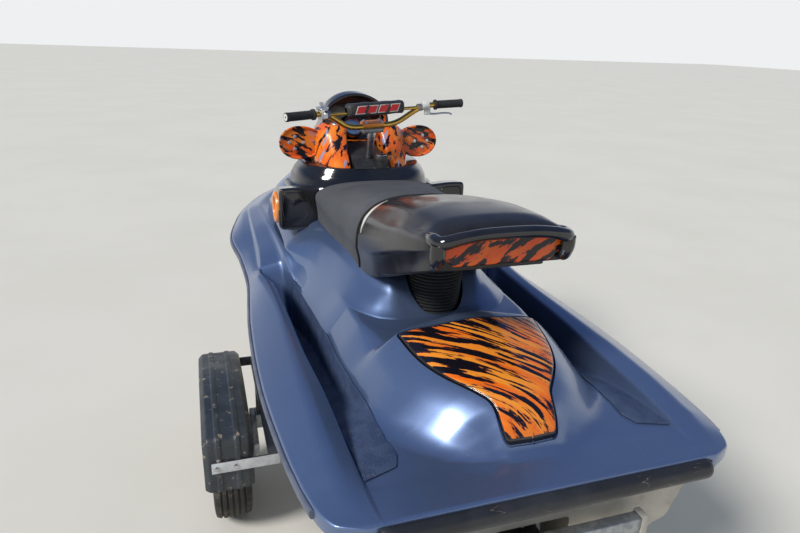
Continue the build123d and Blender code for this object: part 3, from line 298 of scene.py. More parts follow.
def lathe(name, profile, origin, axis, around=48, place=on_craft, **more):
    """Profile (along, radius) in mm carried round an axis through the origin."""
    a, b, c = ring_frame(axis)
    profile = np.asarray(profile, float)
    turn = np.linspace(0, 2 * np.pi, around, endpoint=False)
    ring = np.cos(turn)[:, None] * b + np.sin(turn)[:, None] * c
    p = np.asarray(origin, float) + profile[:, None, :1] * a + profile[:, None, 1:] * ring
    ends = tuple(bool(r > 1e-6) for r in profile[[0, -1], 1])
    return grid(name, place(p), caps=ends, **more)


def drum(start, end, radius):
    """Profile of a plain closed drum between two places."""
    return [(start, 0), (start, radius), (end, radius), (end, 0)]


def tube(name, path, radius, around=16, place=on_craft, up=UP, flat=1.0, **more):
    """Round section carried along a path (N, 3); radius in mm, one or one a point.

    flat is the share of the radius that the section keeps along the up direction.
    """
    path = np.asarray(path, float)
    radius = np.broadcast_to(np.asarray(radius, float), len(path))
    kept = apart(path, 0.001)
    path, radius = path[kept], radius[kept]
    tangent = np.gradient(path, axis=0)
    tangent /= np.linalg.norm(tangent, axis=1, keepdims=True)
    side = np.cross(tangent, up)
    side /= np.linalg.norm(side, axis=1, keepdims=True)
    top = np.cross(side, tangent)
    turn = np.linspace(0, 2 * np.pi, around, endpoint=False)[None, :, None]
    ring = np.cos(turn) * side[:, None] + flat * np.sin(turn) * top[:, None]
    p = path[:, None] + radius[:, None, None] * ring
    return grid(name, place(p), **more)


def block(name, size, origin, axes=np.eye(3), place=on_craft, edge=2.0, segments=2):
    """Small machined block, its edges rounded; axes are its own directions."""
    sx, sy, sz = np.asarray(size, float) / 2
    square = np.array([[-sx, -sy], [sx, -sy], [sx, sy], [-sx, sy]])
    p = np.stack([np.column_stack([square, np.full(4, z)]) for z in (-sz, sz)])
    obj = grid(name, place(np.asarray(origin, float) + p @ np.asarray(axes, float)))
    return settle(round_edges(obj, edge * 0.001, segments))


def bolt(name, origin, axis, radius=7.0, high=5.0, place=on_craft):
    """Hexagon head on a washer."""
    wide = radius * 1.45
    disc = [(0, 0), (0, wide), (1.4, wide), (1.6, radius * 1.3)]
    washer = lathe(name + "_washer", disc, origin, axis, 20, place)
    hexagon = [(1.5, radius), (high, radius), (high + 1, radius * 0.86)]
    head = lathe(name, hexagon, origin, axis, 6, place, sharp=20)
    return joined(name, head, washer)


def rebuilt(node, width, segments=2, angle=25, name=None):
    """Copy of a CAD node, flat faces merged and edges rounded, standing for the node."""
    work = bmesh.new()
    work.from_mesh(nodes[node].data)
    bmesh.ops.remove_doubles(work, verts=work.verts, dist=2e-5)
    bmesh.ops.dissolve_limit(work, angle_limit=np.radians(1.0), verts=work.verts, edges=work.edges)
    mesh = bpy.data.meshes.new(name or node + "_body")
    work.to_mesh(mesh)
    work.free()
    obj = bpy.data.objects.new(name or node + "_body", mesh)
    bpy.context.scene.collection.objects.link(obj)
    if width:
        round_edges(obj, width * 0.001, segments, angle)
        obj.modifiers["edges"].use_clamp_overlap = True
        settle(obj, 32)
    else:
        soften(obj, 32)
    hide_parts(node)
    return obj


body_of_node = {n: b for b, members in frame["record"]["behaviour"]["bodies"].items() for n in members}


def dress(obj, finish, node, stands_for=True):
    """Gives a piece its material and its body, and hides the node that it stands for."""
    obj.data.materials.clear()
    obj.data.materials.append(finish)
    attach(obj, body_of_node[node])
    if stands_for:
        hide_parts(node)
    return obj


# ---- materials ----

class Weave:
    """A material's or group's node tree, built by name."""

    def __init__(self, tree):
        self.tree = tree

    def node(self, kind, **values):
        """New node; small keys are its properties, the others its inputs."""
        made = self.tree.nodes.new("ShaderNode" + kind)
        for key, value in values.items():
            if key.islower():
                setattr(made, key, value)
            else:
                self.put(made.inputs[key.replace("_", " ")], value)
        return made

    def put(self, socket, value):
        """Links an output to a socket or sets its value."""
        if isinstance(value, bpy.types.NodeSocket):
            self.tree.links.new(value, socket)
        elif socket.type == "RGBA":
            socket.default_value = tuple(value)[:3] + (1.0,)
        else:
            socket.default_value = value

    def math(self, operation, a, b=0.0, clamp=False):
        """Output of an arithmetic node."""
        made = self.node("Math", operation=operation, use_clamp=clamp)
        self.put(made.inputs[0], a)
        self.put(made.inputs[1], b)
        return made.outputs[0]

    def noise(self, vector, scale, detail=4.0, rough=0.55, distortion=0.0):
        """Output of a noise between nought and one."""
        return self.node("TexNoise", Vector=vector, Scale=scale, Detail=detail, Roughness=rough,
                         Distortion=distortion).outputs["Fac"]

    def steps(self, value, low, high, start=0.0, end=1.0):
        """Smooth step of a value between low and high."""
        return self.node("MapRange", interpolation_type="SMOOTHSTEP", Value=value, From_Min=low,
                         From_Max=high, To_Min=start, To_Max=end).outputs["Result"]

    def mix(self, factor, a, b):
        """Output of two colours mixed."""
        made = self.node("Mix", data_type="RGBA")
        self.put(made.inputs["Factor"], factor)
        self.put(made.inputs[6], a)
        self.put(made.inputs[7], b)
        return made.outputs[2]

    def mapped(self, vector, scale, turn=(0, 0, 0), shift=(0, 0, 0)):
        """Vector scaled, turned in degrees and shifted."""
        return self.node("Mapping", Vector=vector, Scale=scale, Rotation=tuple(np.radians(turn)),
                         Location=shift).outputs[0]

    def group(self, shared, **values):
        """Node that uses a shared group."""
        made = self.node("Group", node_tree=shared)
        for key, value in values.items():
            self.put(made.inputs[key], value)
        return made


def shared_group(name, inputs, outputs, build):
    """Node group with named sockets; build fills it and gives its outputs."""
    tree = bpy.data.node_groups.new(name, "ShaderNodeTree")
    kinds = {"v": "NodeSocketVector", "f": "NodeSocketFloat", "c": "NodeSocketColor"}
    for key, (kind, value) in inputs.items():
        made = tree.interface.new_socket(name=key, in_out="INPUT", socket_type=kinds[kind])
        if value is not None:
            made.default_value = value
    for key, kind in outputs.items():
        tree.interface.new_socket(name=key, in_out="OUTPUT", socket_type=kinds[kind])
    w = Weave(tree)
    source, sink = tree.nodes.new("NodeGroupInput"), tree.nodes.new("NodeGroupOutput")
    for key, value in build(w, source.outputs).items():
        tree.links.new(value, sink.inputs[key])
    return tree


def build_blotches(w, given):
    """Soft cloudy mask: noise stepped between low and high."""
    cloud = w.noise(given["Vector"], given["Scale"], 5.0, 0.6)
    return {"Mask": w.steps(cloud, given["Low"], given["High"])}


def build_pores(w, given):
    """Fine grain as a normal: noise over cells, pressed in by the depth."""
    cells = w.node("TexVoronoi", Vector=given["Vector"], Scale=given["Scale"]).outputs["Distance"]
    fine = w.node("TexNoise", Vector=given["Vector"], Scale=w.math("MULTIPLY", given["Scale"], 2.3), Detail=2.0)
    height = w.math("ADD", w.math("MULTIPLY", cells, given["Cells"]), fine.outputs["Fac"])
    bump = w.node("Bump", Height=height, Strength=given["Strength"], Distance=given["Depth"])
    return {"Normal": bump.outputs["Normal"]}


def build_scratches(w, given):
    """Thin stray lines: a band round the middle value of a stretched, bent noise."""
    bent = w.node("TexNoise", Vector=w.mapped(given["Vector"], (0.35, 3.0, 1.0), (0, 0, 31)),
                  Scale=given["Scale"], Detail=1.0, Distortion=0.6)
    line = w.math("ABSOLUTE", w.math("SUBTRACT", bent.outputs["Fac"], 0.5))
    thin = w.steps(line, given["Width"], 0.0)
    broken = w.node("TexNoise", Vector=given["Vector"], Scale=w.math("MULTIPLY", given["Scale"], 0.7),
                    Detail=2.0)
    return {"Mask": w.math("MULTIPLY", thin, w.steps(broken.outputs["Fac"], 0.52, 0.62))}


def build_stripes(w, given):
    """Torn stripes: a long noise cut at a level, its edge ragged by a finer one.

    The vector is already turned and stretched, so that the stripes run along its x.
    """
    where, level_at = given["Vector"], given["Cover"]
    long = w.noise(where, 1.0, 3.0, 0.5, 0.35)
    ragged = w.noise(w.mapped(where, (3.5, 2.2, 3.0)), 1.6, 6.0, 0.72)
    torn = w.math("ADD", long, w.math("MULTIPLY", w.math("SUBTRACT", ragged, 0.5), given["Tear"]))
    dark = w.steps(torn, w.math("SUBTRACT", level_at, 0.012), w.math("ADD", level_at, 0.012))
    edge = w.steps(w.math("ABSOLUTE", w.math("SUBTRACT", torn, level_at)), 0.05, 0.0)
    speck = w.steps(w.noise(w.mapped(where, (5.0, 3.0, 5.0)), 3.0, 4.0, 0.7), 0.52, 0.56)
    warm = w.steps(w.noise(where, 0.45, 2.0), 0.38, 0.62)
    body = w.mix(dark, w.mix(warm, given["Orange"], given["Amber"]), given["Dark"])
    flecked = w.mix(w.math("MULTIPLY", w.math("MULTIPLY", edge, speck), 0.9), body, given["Fleck"])
    pale = w.noise(w.mapped(where, (0.6, 0.35, 0.6), (0, 0, 0), (3.1, 1.7, 0.4)), 1.0, 2.0)
    shaded = w.mix(w.math("MULTIPLY", w.steps(pale, 0.60, 0.66), given["Pale"]), flecked, given["Pale Tone"])
    return {"Color": shaded}


blotches = shared_group("Blotches", {"Vector": ("v", None), "Scale": ("f", 5.0), "Low": ("f", 0.35),
                                     "High": ("f", 0.65)}, {"Mask": "f"}, build_blotches)
pores = shared_group("Pores", {"Vector": ("v", None), "Scale": ("f", 300.0), "Cells": ("f", 1.0),
                               "Strength": ("f", 0.3), "Depth": ("f", 0.0005)}, {"Normal": "v"}, build_pores)
scratches = shared_group("Scratches", {"Vector": ("v", None), "Scale": ("f", 20.0), "Width": ("f", 0.01)},
                         {"Mask": "f"}, build_scratches)
stripes = shared_group("Torn stripes", {
    "Vector": ("v", None), "Cover": ("f", 0.52), "Tear": ("f", 0.22), "Orange": ("c", (0.86, 0.19, 0.012, 1)),
    "Amber": ("c", (0.95, 0.36, 0.03, 1)), "Dark": ("c", (0.006, 0.005, 0.009, 1)),
    "Fleck": ("c", (0.16, 0.035, 0.045, 1)), "Pale": ("f", 0.0), "Pale Tone": ("c", (0.30, 0.32, 0.46, 1))},
    {"Color": "c"}, build_stripes)


def surface(name, base, second=None, cloud=(6.0, 0.35, 0.65), rough=(0.4, 0.5), rough_scale=14.0, grain=None,
            dust=None, scratch=None, build=None, **fixed):
    """Principled material on Object coordinates.

    base and second are mixed by clouds, dust lies over them in spots, scratches
    show paler, and rough runs from the first to the second value in its own clouds.
    """
    material = bpy.data.materials.new(name)
    material.use_nodes = True
    w = Weave(material.node_tree)
    shader = material.node_tree.nodes["Principled BSDF"]
    where = w.node("TexCoord").outputs["Object"]
    colour = base
    if build:
        colour = build(w, where)
    elif second:
        cloudy = w.group(blotches, Vector=where, Scale=cloud[0], Low=cloud[1], High=cloud[2])
        colour = w.mix(cloudy.outputs[0], base, second)
    hazy = w.group(blotches, Vector=where, Scale=rough_scale, Low=0.3, High=0.7)
    roughness = w.node("MapRange", Value=hazy.outputs[0], To_Min=rough[0], To_Max=rough[1]).outputs["Result"]
    if scratch:
        tone, amount, scale, width = scratch
        lines = w.group(scratches, Vector=where, Scale=scale, Width=width).outputs[0]
        colour = w.mix(w.math("MULTIPLY", lines, amount), colour, tone)
    if dust:
        tone, amount, scale, low, high = dust
        spots = w.group(blotches, Vector=where, Scale=scale, Low=low, High=high).outputs[0]
        share = w.math("MULTIPLY", spots, amount)
        colour = w.mix(share, colour, tone)
        roughness = w.math("ADD", roughness, w.math("MULTIPLY", share, 0.25), True)
    w.put(shader.inputs["Base Color"], colour)
    w.put(shader.inputs["Roughness"], roughness)
    if grain:
        scale, cells, strength, depth = grain
        made = w.group(pores, Vector=where, Scale=scale, Cells=cells, Strength=strength, Depth=depth)
        w.put(shader.inputs["Normal"], made.outputs["Normal"])
    for key, value in fixed.items():
        w.put(shader.inputs[key.replace("_", " ")], value)
    return material


def striped(name, turn, stretch, cover=0.52, pale=0.0, shift=(0, 0, 0), orange=(0.80, 0.15, 0.010),
            amber=(0.84, 0.29, 0.03), **fixed):
    """Glossy wrap with torn orange and black stripes along a turned, stretched direction."""
    def build(w, where):
        vector = w.mapped(w.mapped(where, (1, 1, 1), turn), stretch, (0, 0, 0), shift)
        made = w.group(stripes, Vector=vector, Cover=cover, Pale=pale, Orange=orange, Amber=amber)
        return made.outputs["Color"]
    return surface(name, None, build=build, rough=(0.18, 0.30), Coat_Weight=0.3, Coat_Roughness=0.08,
                   Specular_IOR_Level=0.35, **fixed)


def build_paint(w, where):
    """Metallic gelcoat: slate blue in broad clouds with a fine sparkle of flakes."""
    broad = w.group(blotches, Vector=where, Scale=1.3, Low=0.3, High=0.7).outputs[0]
    colour = w.mix(broad, (0.105, 0.170, 0.325), (0.125, 0.178, 0.320))
    flake = w.node("TexVoronoi", Vector=where, Scale=1500.0).outputs["Color"]
    grey = w.node("RGBToBW", Color=flake).outputs[0]
    return w.mix(w.steps(grey, 0.2, 0.9, 0.0, 0.2), colour, (0.34, 0.42, 0.60))


paint = surface("slate_gelcoat", None, build=build_paint, rough=(0.36, 0.42), rough_scale=3.0, Metallic=0.7,
                Coat_Weight=0.7, Coat_Roughness=0.10, scratch=((0.45, 0.5, 0.62), 0.25, 26.0, 0.003))
# Darker copy of the gelcoat for the faces that the cutters leave: painted shade in the recesses
painted_recess_shade = surface("gelcoat_in_painted_shade", (0.016, 0.026, 0.06), (0.024, 0.036, 0.08), rough=(0.35, 0.5),
                     Coat_Weight=0.5, Coat_Roughness=0.15)
# Non-slip mat: its grain and dust are real, its dark navy is the footwell's shade painted in
mat_grip_and_painted_shade = surface("footwell_grip", (0.03, 0.055, 0.13), (0.045, 0.075, 0.16), cloud=(20.0, 0.4, 0.6),
                    rough=(0.6, 0.75), grain=(380.0, 1.6, 0.9, 0.0012),
                    dust=((0.16, 0.15, 0.14), 0.35, 45.0, 0.58, 0.7))
hull_gel = surface("weathered_gelcoat", (0.56, 0.52, 0.45), (0.42, 0.38, 0.31), cloud=(3.0, 0.4, 0.62),
                   rough=(0.32, 0.5), dust=((0.18, 0.15, 0.11), 0.55, 16.0, 0.56, 0.74), Coat_Weight=0.3,
                   Coat_Roughness=0.2, scratch=((0.25, 0.22, 0.18), 0.5, 18.0, 0.006))
gloss_black = surface("gloss_black", (0.008, 0.008, 0.009), (0.014, 0.013, 0.014), cloud=(8.0, 0.4, 0.6),
                      rough=(0.07, 0.15), rough_scale=9.0, Coat_Weight=0.5, Coat_Roughness=0.03,
                      scratch=((0.12, 0.12, 0.13), 0.5, 34.0, 0.004))
moulded = surface("moulded_black", (0.020, 0.021, 0.023), (0.032, 0.033, 0.035), rough=(0.42, 0.6),
                  grain=(520.0, 1.0, 0.35, 0.0004), dust=((0.22, 0.19, 0.15), 0.35, 26.0, 0.6, 0.75))
guard_black = surface("mudguard_black", (0.020, 0.026, 0.034), (0.036, 0.044, 0.054), cloud=(9.0, 0.35, 0.65),
                      rough=(0.30, 0.52), grain=(420.0, 1.0, 0.4, 0.0004),
                      dust=((0.42, 0.36, 0.27), 0.75, 34.0, 0.60, 0.70),
                      scratch=((0.3, 0.3, 0.3), 0.6, 40.0, 0.006))
soft_black = surface("matt_rubber", (0.013, 0.013, 0.014), (0.024, 0.024, 0.025), rough=(0.62, 0.8),
                     grain=(600.0, 1.0, 0.4, 0.0004), dust=((0.16, 0.14, 0.12), 0.3, 24.0, 0.6, 0.75))
bumper_black = surface("bumper_rubber", (0.016, 0.017, 0.02), (0.03, 0.032, 0.038), cloud=(5.0, 0.4, 0.6),
                       rough=(0.34, 0.5), grain=(300.0, 0.6, 0.25, 0.0004),
                       scratch=((0.35, 0.27, 0.2), 0.7, 30.0, 0.006))
tyre_black = surface("tyre_rubber", (0.020, 0.019, 0.018), (0.036, 0.033, 0.030), cloud=(12.0, 0.35, 0.65),
                     rough=(0.7, 0.88), grain=(500.0, 1.0, 0.5, 0.0005),
                     dust=((0.20, 0.17, 0.13), 0.5, 18.0, 0.52, 0.7))
seat_grip = surface("seat_grip_vinyl", (0.062, 0.068, 0.078), (0.082, 0.088, 0.098), cloud=(5.0, 0.35, 0.65),
                    rough=(0.66, 0.8), grain=(330.0, 1.8, 0.8, 0.0007),
                    scratch=((0.28, 0.30, 0.32), 0.5, 7.0, 0.004))
seat_vinyl = surface("seat_gloss_vinyl", (0.012, 0.012, 0.014), (0.022, 0.021, 0.024), cloud=(7.0, 0.35, 0.65),
                     rough=(0.14, 0.24), grain=(260.0, 1.0, 0.14, 0.0004), Coat_Weight=0.1, Coat_Roughness=0.08,
                     Specular_IOR_Level=0.35)
stripe_cover = striped("cover_wrap", (0, 0, 41), (6.5, 72.0, 14.0), cover=0.50)
# The tail panel's stripes are real; their redder, darker orange and amber are the wrap's shaded tone, painted
# shade
stripe_panel_painted_shade = striped("panel_wrap_painted_shade", (0, 35, 0), (15.0, 12.0, 52.0), cover=0.50, orange=(0.80, 0.085, 0.008),
                       amber=(0.84, 0.15, 0.012))
stripe_pillar = striped("pillar_wrap", (0, 62, 12), (12.0, 24.0, 58.0), cover=0.56, pale=0.9,
                        orange=(0.82, 0.13, 0.01), amber=(0.86, 0.24, 0.02))
stripe_mirror = striped("mirror_wrap", (0, -24, 0), (16.0, 20.0, 52.0), cover=0.53, pale=0.35,
                        shift=(0.6, 2.2, 1.0), orange=(0.80, 0.10, 0.01), amber=(0.86, 0.22, 0.02))
orange_part = surface("orange_moulding", (0.82, 0.22, 0.015), (0.9, 0.30, 0.03), rough=(0.25, 0.4),
                      Coat_Weight=0.5, Coat_Roughness=0.1)
gold = surface("gold_anodised", (0.72, 0.44, 0.10), (0.60, 0.35, 0.07), cloud=(20.0, 0.35, 0.65),
               rough=(0.22, 0.34), Metallic=1.0, scratch=((0.9, 0.75, 0.5), 0.4, 60.0, 0.01))
alloy = surface("machined_alloy", (0.62, 0.63, 0.65), (0.5, 0.51, 0.53), cloud=(30.0, 0.35, 0.65),
                rough=(0.25, 0.42), Metallic=1.0, scratch=((0.85, 0.85, 0.86), 0.4, 70.0, 0.01))
cast = surface("cast_alloy", (0.36, 0.36, 0.37), (0.25, 0.25, 0.26), cloud=(22.0, 0.35, 0.65),
               rough=(0.45, 0.62), Metallic=0.9, grain=(300.0, 1.2, 0.5, 0.0006))
stainless = surface("stainless_steel", (0.6, 0.6, 0.61), (0.5, 0.5, 0.5), cloud=(40.0, 0.35, 0.65),
                    rough=(0.16, 0.3), Metallic=1.0)
zinc = surface("galvanised_steel", (0.42, 0.44, 0.45), (0.30, 0.32, 0.34), cloud=(46.0, 0.42, 0.58),
               rough=(0.36, 0.58), Metallic=0.75, grain=(160.0, 1.0, 0.15, 0.0005),
               dust=((0.17, 0.12, 0.08), 0.45, 7.0, 0.56, 0.72))
flat_silver = surface("bright_flat_bar", (0.62, 0.64, 0.67), (0.50, 0.52, 0.55), cloud=(30.0, 0.35, 0.65),
                      rough=(0.35, 0.5), Metallic=0.35, scratch=((0.3, 0.3, 0.3), 0.4, 50.0, 0.01))
dark_steel = surface("dark_angle_iron", (0.045, 0.052, 0.065), (0.07, 0.075, 0.085), cloud=(14.0, 0.35, 0.65),
                     rough=(0.35, 0.55), Metallic=0.5, dust=((0.22, 0.13, 0.07), 0.5, 18.0, 0.6, 0.72))
rim_silver = surface("rim_paint", (0.52, 0.52, 0.50), (0.42, 0.41, 0.39), cloud=(9.0, 0.4, 0.6),
                     rough=(0.35, 0.5), Metallic=0.3, dust=((0.16, 0.12, 0.09), 0.6, 20.0, 0.56, 0.7))
rail_grey = surface("rail_strip", (0.11, 0.13, 0.19), (0.075, 0.09, 0.14), cloud=(10.0, 0.4, 0.6),
                    rough=(0.4, 0.55), dust=((0.14, 0.13, 0.12), 0.4, 22.0, 0.55, 0.7))
red_print = surface("red_print", (0.62, 0.015, 0.02), (0.50, 0.01, 0.015), rough=(0.35, 0.5))
white_part = surface("white_moulding", (0.72, 0.72, 0.70), (0.62, 0.62, 0.6), rough=(0.3, 0.45))


def build_web(w, where):
    """Woven tape: two crossed ribs of thread, greyed by clouds of dirt."""
    rib_a = w.node("TexWave", Vector=where, Scale=260.0, bands_direction="X").outputs["Fac"]
    rib_b = w.node("TexWave", Vector=where, Scale=190.0, bands_direction="Z").outputs["Fac"]
    thread = w.math("MULTIPLY", rib_a, rib_b)
    clean = w.mix(thread, (0.36, 0.35, 0.31), (0.62, 0.60, 0.54))
    dirty = w.group(blotches, Vector=where, Scale=22.0, Low=0.45, High=0.7).outputs[0]
    return w.mix(w.math("MULTIPLY", dirty, 0.5), clean, (0.24, 0.22, 0.18))


webbing = surface("woven_webbing", None, build=build_web, rough=(0.75, 0.9), grain=(700.0, 1.0, 0.6, 0.0005))
carpet = surface("bunk_carpet", (0.022, 0.022, 0.026), (0.045, 0.045, 0.05), cloud=(60.0, 0.35, 0.65),
                 rough=(0.9, 1.0), grain=(900.0, 1.6, 1.0, 0.0015), Sheen_Weight=0.4)

# ---- deck and hull ----

deck_table = np.array([
    (12, 406, 100, 406, 210, 406, 300, 405, 360, 405, 404, 394, 404, 412, 403, 430, 400),
    (40, 407, 95, 407, 150, 407, 240, 406, 360, 405, 405, 400, 406, 435, 405, 487, 400),
    (100, 409, 60, 409, 90, 408, 130, 407, 370, 405, 406, 404, 410, 453, 415, 516, 400),
    (122, 420, 58, 418, 84, 411, 122, 407, 370, 404, 405, 405, 412, 456, 418, 521, 400),
    (140, 453, 62, 450, 86, 428, 152, 407, 370, 404, 404, 406, 413, 458, 421, 525, 400),
    (165, 490, 66, 486, 98, 456, 190, 408, 370, 404, 402, 407, 416, 460, 426, 530, 400),
    (200, 518, 74, 513, 130, 484, 224, 408, 370, 403, 400, 408, 418, 462, 430, 535, 400),
    (250, 537, 106, 527, 170, 494, 258, 408, 364, 402, 394, 410, 422, 464, 436, 542, 400),
    (330, 556, 142, 538, 210, 500, 298, 408, 350, 400, 382, 412, 426, 467, 443, 550, 400),
    (455, 582, 182, 550, 246, 502, 316, 410, 328, 376, 356, 416, 430, 468, 448, 560, 400),
    (525, 594, 196, 555, 256, 503, 326, 411, 340, 346, 336, 420, 432, 468, 450, 564, 400),
    (575, 500, 125, 500, 255, 494, 330, 412, 344, 336, 328, 424, 433, 467, 450, 566, 400),
    (700, 500, 150, 500, 264, 500, 338, 415, 350, 314, 312, 432, 435, 467, 450, 567, 400),
    (940, 500, 150, 500, 272, 500, 338, 416, 350, 280, 280, 438, 436, 465, 450, 561, 400),
    (1230, 500, 150, 500, 298, 500, 366, 424, 376, 240, 240, 452, 436, 486, 450, 540, 400),
    (1290, 500, 150, 500, 306, 500, 374, 434, 384, 232, 232, 468, 436, 496, 450, 535, 400),
    (1400, 500, 150, 500, 325, 500, 388, 494, 402, 458, 440, 486, 432, 508, 422, 531, 400),
    (1600, 500, 150, 500, 345, 500, 396, 512, 412, 495, 465, 480, 450, 512, 435, 540, 414),
    (1800, 500, 150, 500, 350, 500, 404, 518, 424, 505, 482, 478, 472, 522, 455, 562, 432),
    (2050, 500, 150, 500, 352, 500, 405, 512, 430, 502, 488, 470, 482, 498, 470, 522, 448),
    (2300, 500, 110, 500, 280, 500, 340, 505, 362, 498, 490, 390, 486, 416, 478, 440, 460),
    (2500, 500, 60, 500, 170, 500, 232, 502, 248, 498, 492, 268, 490, 290, 484, 322, 468),
    (2620, 500, 25, 500, 70, 500, 128, 500, 142, 498, 494, 158, 492, 176, 486, 200, 472),
    (2705, 496, 8, 496, 16, 496, 26, 495, 36, 494, 493, 48, 491, 62, 488, 84, 475)], float)
BOND = 35.0
LEAN = 7.0
SKIN = 12.0

deck_y = np.unique(spread((DECK_AFT, 24, 7), (24, 100, 20), (100, 340, 84), (340, 2690, 180), (500, 585, 34),
                          (1270, 1420, 22), (2690, DECK_FORE, 8)))


def deck_controls(ys, inset_by=0.0):
    """Control points of the deck's half outline at each place: top, edge and underside."""
    cz, ax, az, bx, bz, fx, fz, nx, nz, oz, gx, gz, rx, rz, ex, ez = monotone(deck_table, ys).T
    bond = ez - BOND
    lip = 0.3 * SKIN
    top = [(0, cz), (ax, az), (bx, bz), (fx, fz), (nx, nz), (gx - LEAN, oz), (gx, gz), (rx, rz), (ex, ez)]
    under = [(ex - inset_by, bond), (gx + SKIN, bond), (gx - LEAN + lip, np.minimum(bond, oz - lip)),
             (nx - SKIN, np.minimum(bond, nz - SKIN)), (0.7 * fx, bond)]
    return columns(top), columns(under)


deck_top, deck_under = deck_controls(deck_y)
deck_radii = np.tile([70.0, 60, 45, 60, 16, 14, 8, 22, 8, 4, 4, 4, 4, 4], (len(deck_y), 1))
deck_radii[:, 2] = np.interp(deck_y, [570, 700], [45, 12])
deck_radii[:, 3] = np.interp(deck_y, [330, 480, 1300, 1420], [46, 14, 14, 24])
deck_loops = whole(np.concatenate([deck_top, deck_under], 1), deck_radii, 8)
# the stern and bow edges roll over
ROLL = 9.0
HALF_WIDTH = 430            # half width against which the ends draw in
near = np.clip(np.minimum(deck_y - DECK_AFT, DECK_FORE - deck_y) / ROLL, 0, 1)
drop = ROLL * (1 - np.sqrt(1 - (1 - near)**2))
upper = (deck_loops[..., 1] > deck_under[:, :1, 1] + 1)
deck_loops[..., 1] -= np.where(upper, drop[:, None], 0)
deck_loops[..., 0] *= (1 - drop / HALF_WIDTH)[:, None]


def height_over(loops, ys, x, y):
    """Height of a skin's upper face at points x and y, read off its rounded outlines."""
    half = (loops.shape[1] + 1) // 2
    flat_x, flat_y, out = np.abs(np.ravel(x)), np.ravel(y), np.empty(np.size(x))
    i = np.clip(np.searchsorted(ys, flat_y) - 1, 0, len(ys) - 2)
    share = np.clip((flat_y - ys[i]) / (ys[i + 1] - ys[i]), 0, 1)
    for row in np.unique(i):
        here = i == row
        ends = []
        for k in (row, row + 1):
            px, pz = loops[k, :half, 0], loops[k, :half, 1]
            rising = np.maximum.accumulate(px)
            keep = np.concatenate([[True], np.diff(rising) > 1e-6])
            ends.append(np.interp(flat_x[here], rising[keep], pz[keep]))
        out[here] = ends[0] * (1 - share[here]) + ends[1] * share[here]
    return out.reshape(np.shape(x))


def deck_height(x, y):
    """Height of the deck's upper face."""
    return height_over(deck_loops, deck_y, x, y)


def draped(name, outline, high, thick, edge, over=deck_height, rings=26, **more):
    """Plate over a skin: an outline (V, 2) filled by rings about its middle.

    Its top stands high above the skin and rolls over by a quarter circle of the edge
    width; its underside lies thick below the top.
    """
    middle = (outline.max(0) + outline.min(0)) / 2
    phi = np.radians([0, 22, 45, 68, 90])
    rims = insets(outline, edge * (1 - np.sin(phi)))
    share = np.linspace(0.02, 1, rings)[:, None, None]
    inner = middle + (rims[0] - middle) * share
    under = middle + (rims[-1] - middle) * share
    flat = np.concatenate([inner, rims[1:], rims[-1:], under[-2::-1]], 0)
    below = np.concatenate([np.zeros(rings), edge * (1 - np.cos(phi[1:])), np.full(rings, thick)])
    z = over(flat[..., 0], flat[..., 1]) + (high - below)[:, None]
    return grid(name, on_craft(np.concatenate([flat, z[..., None]], -1)), **more)


deck_skin = grid("deck_skin", on_craft(across(deck_loops, deck_y)))

# Cover on the hump: a shield with a tab, its front edge hollow between two tips
cover_half = [(0, 489), (110, 495), (205, 521), (201, 488), (194, 440), (182, 385), (160, 330), (138, 290),
              (106, 245), (80, 212), (73, 190), (71, 160), (64, 137), (0, 135)]
cover_outline = whole(cover_half, [80, 80, 7, 30, 60, 60, 60, 60, 50, 26, 26, 26, 16, 60], 9)

well = draped("cover_well", inset(cover_outline, -6.0), 240.0, 256.0, 1.0)
slot_behind = block("tab_slot", (112, 40, 120), (0, 136, 500), edge=10, segments=3)
bay = block("bay", (132, 240, 300), (0, 310, 572))
# the cut faces take the darker gelcoat, painted shade in the recesses
for cutter in (well, slot_behind, bay):
    cutter.data.materials.append(painted_recess_shade)
deck_skin.data.materials.append(paint)
carve(deck_skin, well, slot_behind, bay)
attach(deck_skin, "craft")
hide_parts("deck")

dress(draped("cover_shell", cover_outline, 1.2, 11.0, 2.0), gloss_black, "rear_cover")
dress(draped("cover_wrap", inset(cover_outline, 2.0), 2.4, 4.0, 1.4), stripe_cover, "rear_cover", False)

# Non-slip mats: down the footwells' walls and floors and out beside the hump
MAT_COLUMNS = 26
MAT_END = 43.0              # place on the outline where a mat ends
MAT_PROUD = 1.3
mat_y = np.linspace(140, 1262, 190)
row = np.interp(mat_y, deck_y, np.arange(len(deck_y)))
low = np.floor(row).astype(int)
part = (row - low)[:, None, None]
mat_rows = deck_loops[low] * (1 - part) + deck_loops[np.minimum(low + 1, len(deck_y) - 1)] * part
start = np.interp(mat_y, [140, 181, 253, 334, 405, 500], [31.78, 31.5, 31.2, 29.8, 28.6, 28.0])[:, None]
place = start + (MAT_END - start) * np.linspace(0, 1, MAT_COLUMNS)
cell = np.floor(place).astype(int)[..., None]
part = place[..., None] - cell
mat_xz = np.take_along_axis(mat_rows, cell, 1) * (1 - part) + np.take_along_axis(mat_rows, cell + 1, 1) * part
mat_x = mat_xz[..., 0]
straight = np.broadcast_to(mat_y[:, None], place.shape)
# towards the stern the inner edge slants forward, beside the cover
slant = 0.33 * (395 - mat_x) * np.clip((420 - mat_y) / 280, 0, 1)[:, None]
mat_at = straight + slant
shift = deck_height(mat_x, mat_at) - deck_height(mat_x, straight)
mat_z = mat_xz[..., 1] + np.where(slant > 0, shift, 0) + MAT_PROUD
for side, name in SIDES:
    points = np.stack([side * (mat_x + 1.0), mat_at, mat_z], -1)
    mat = sheet_of("footwell_mat_" + name, on_craft(points), side * -0.003, 0.001)
    # the mats' dark navy is partly painted shade of the footwells
    dress(mat, mat_grip_and_painted_shade, "deck", False)

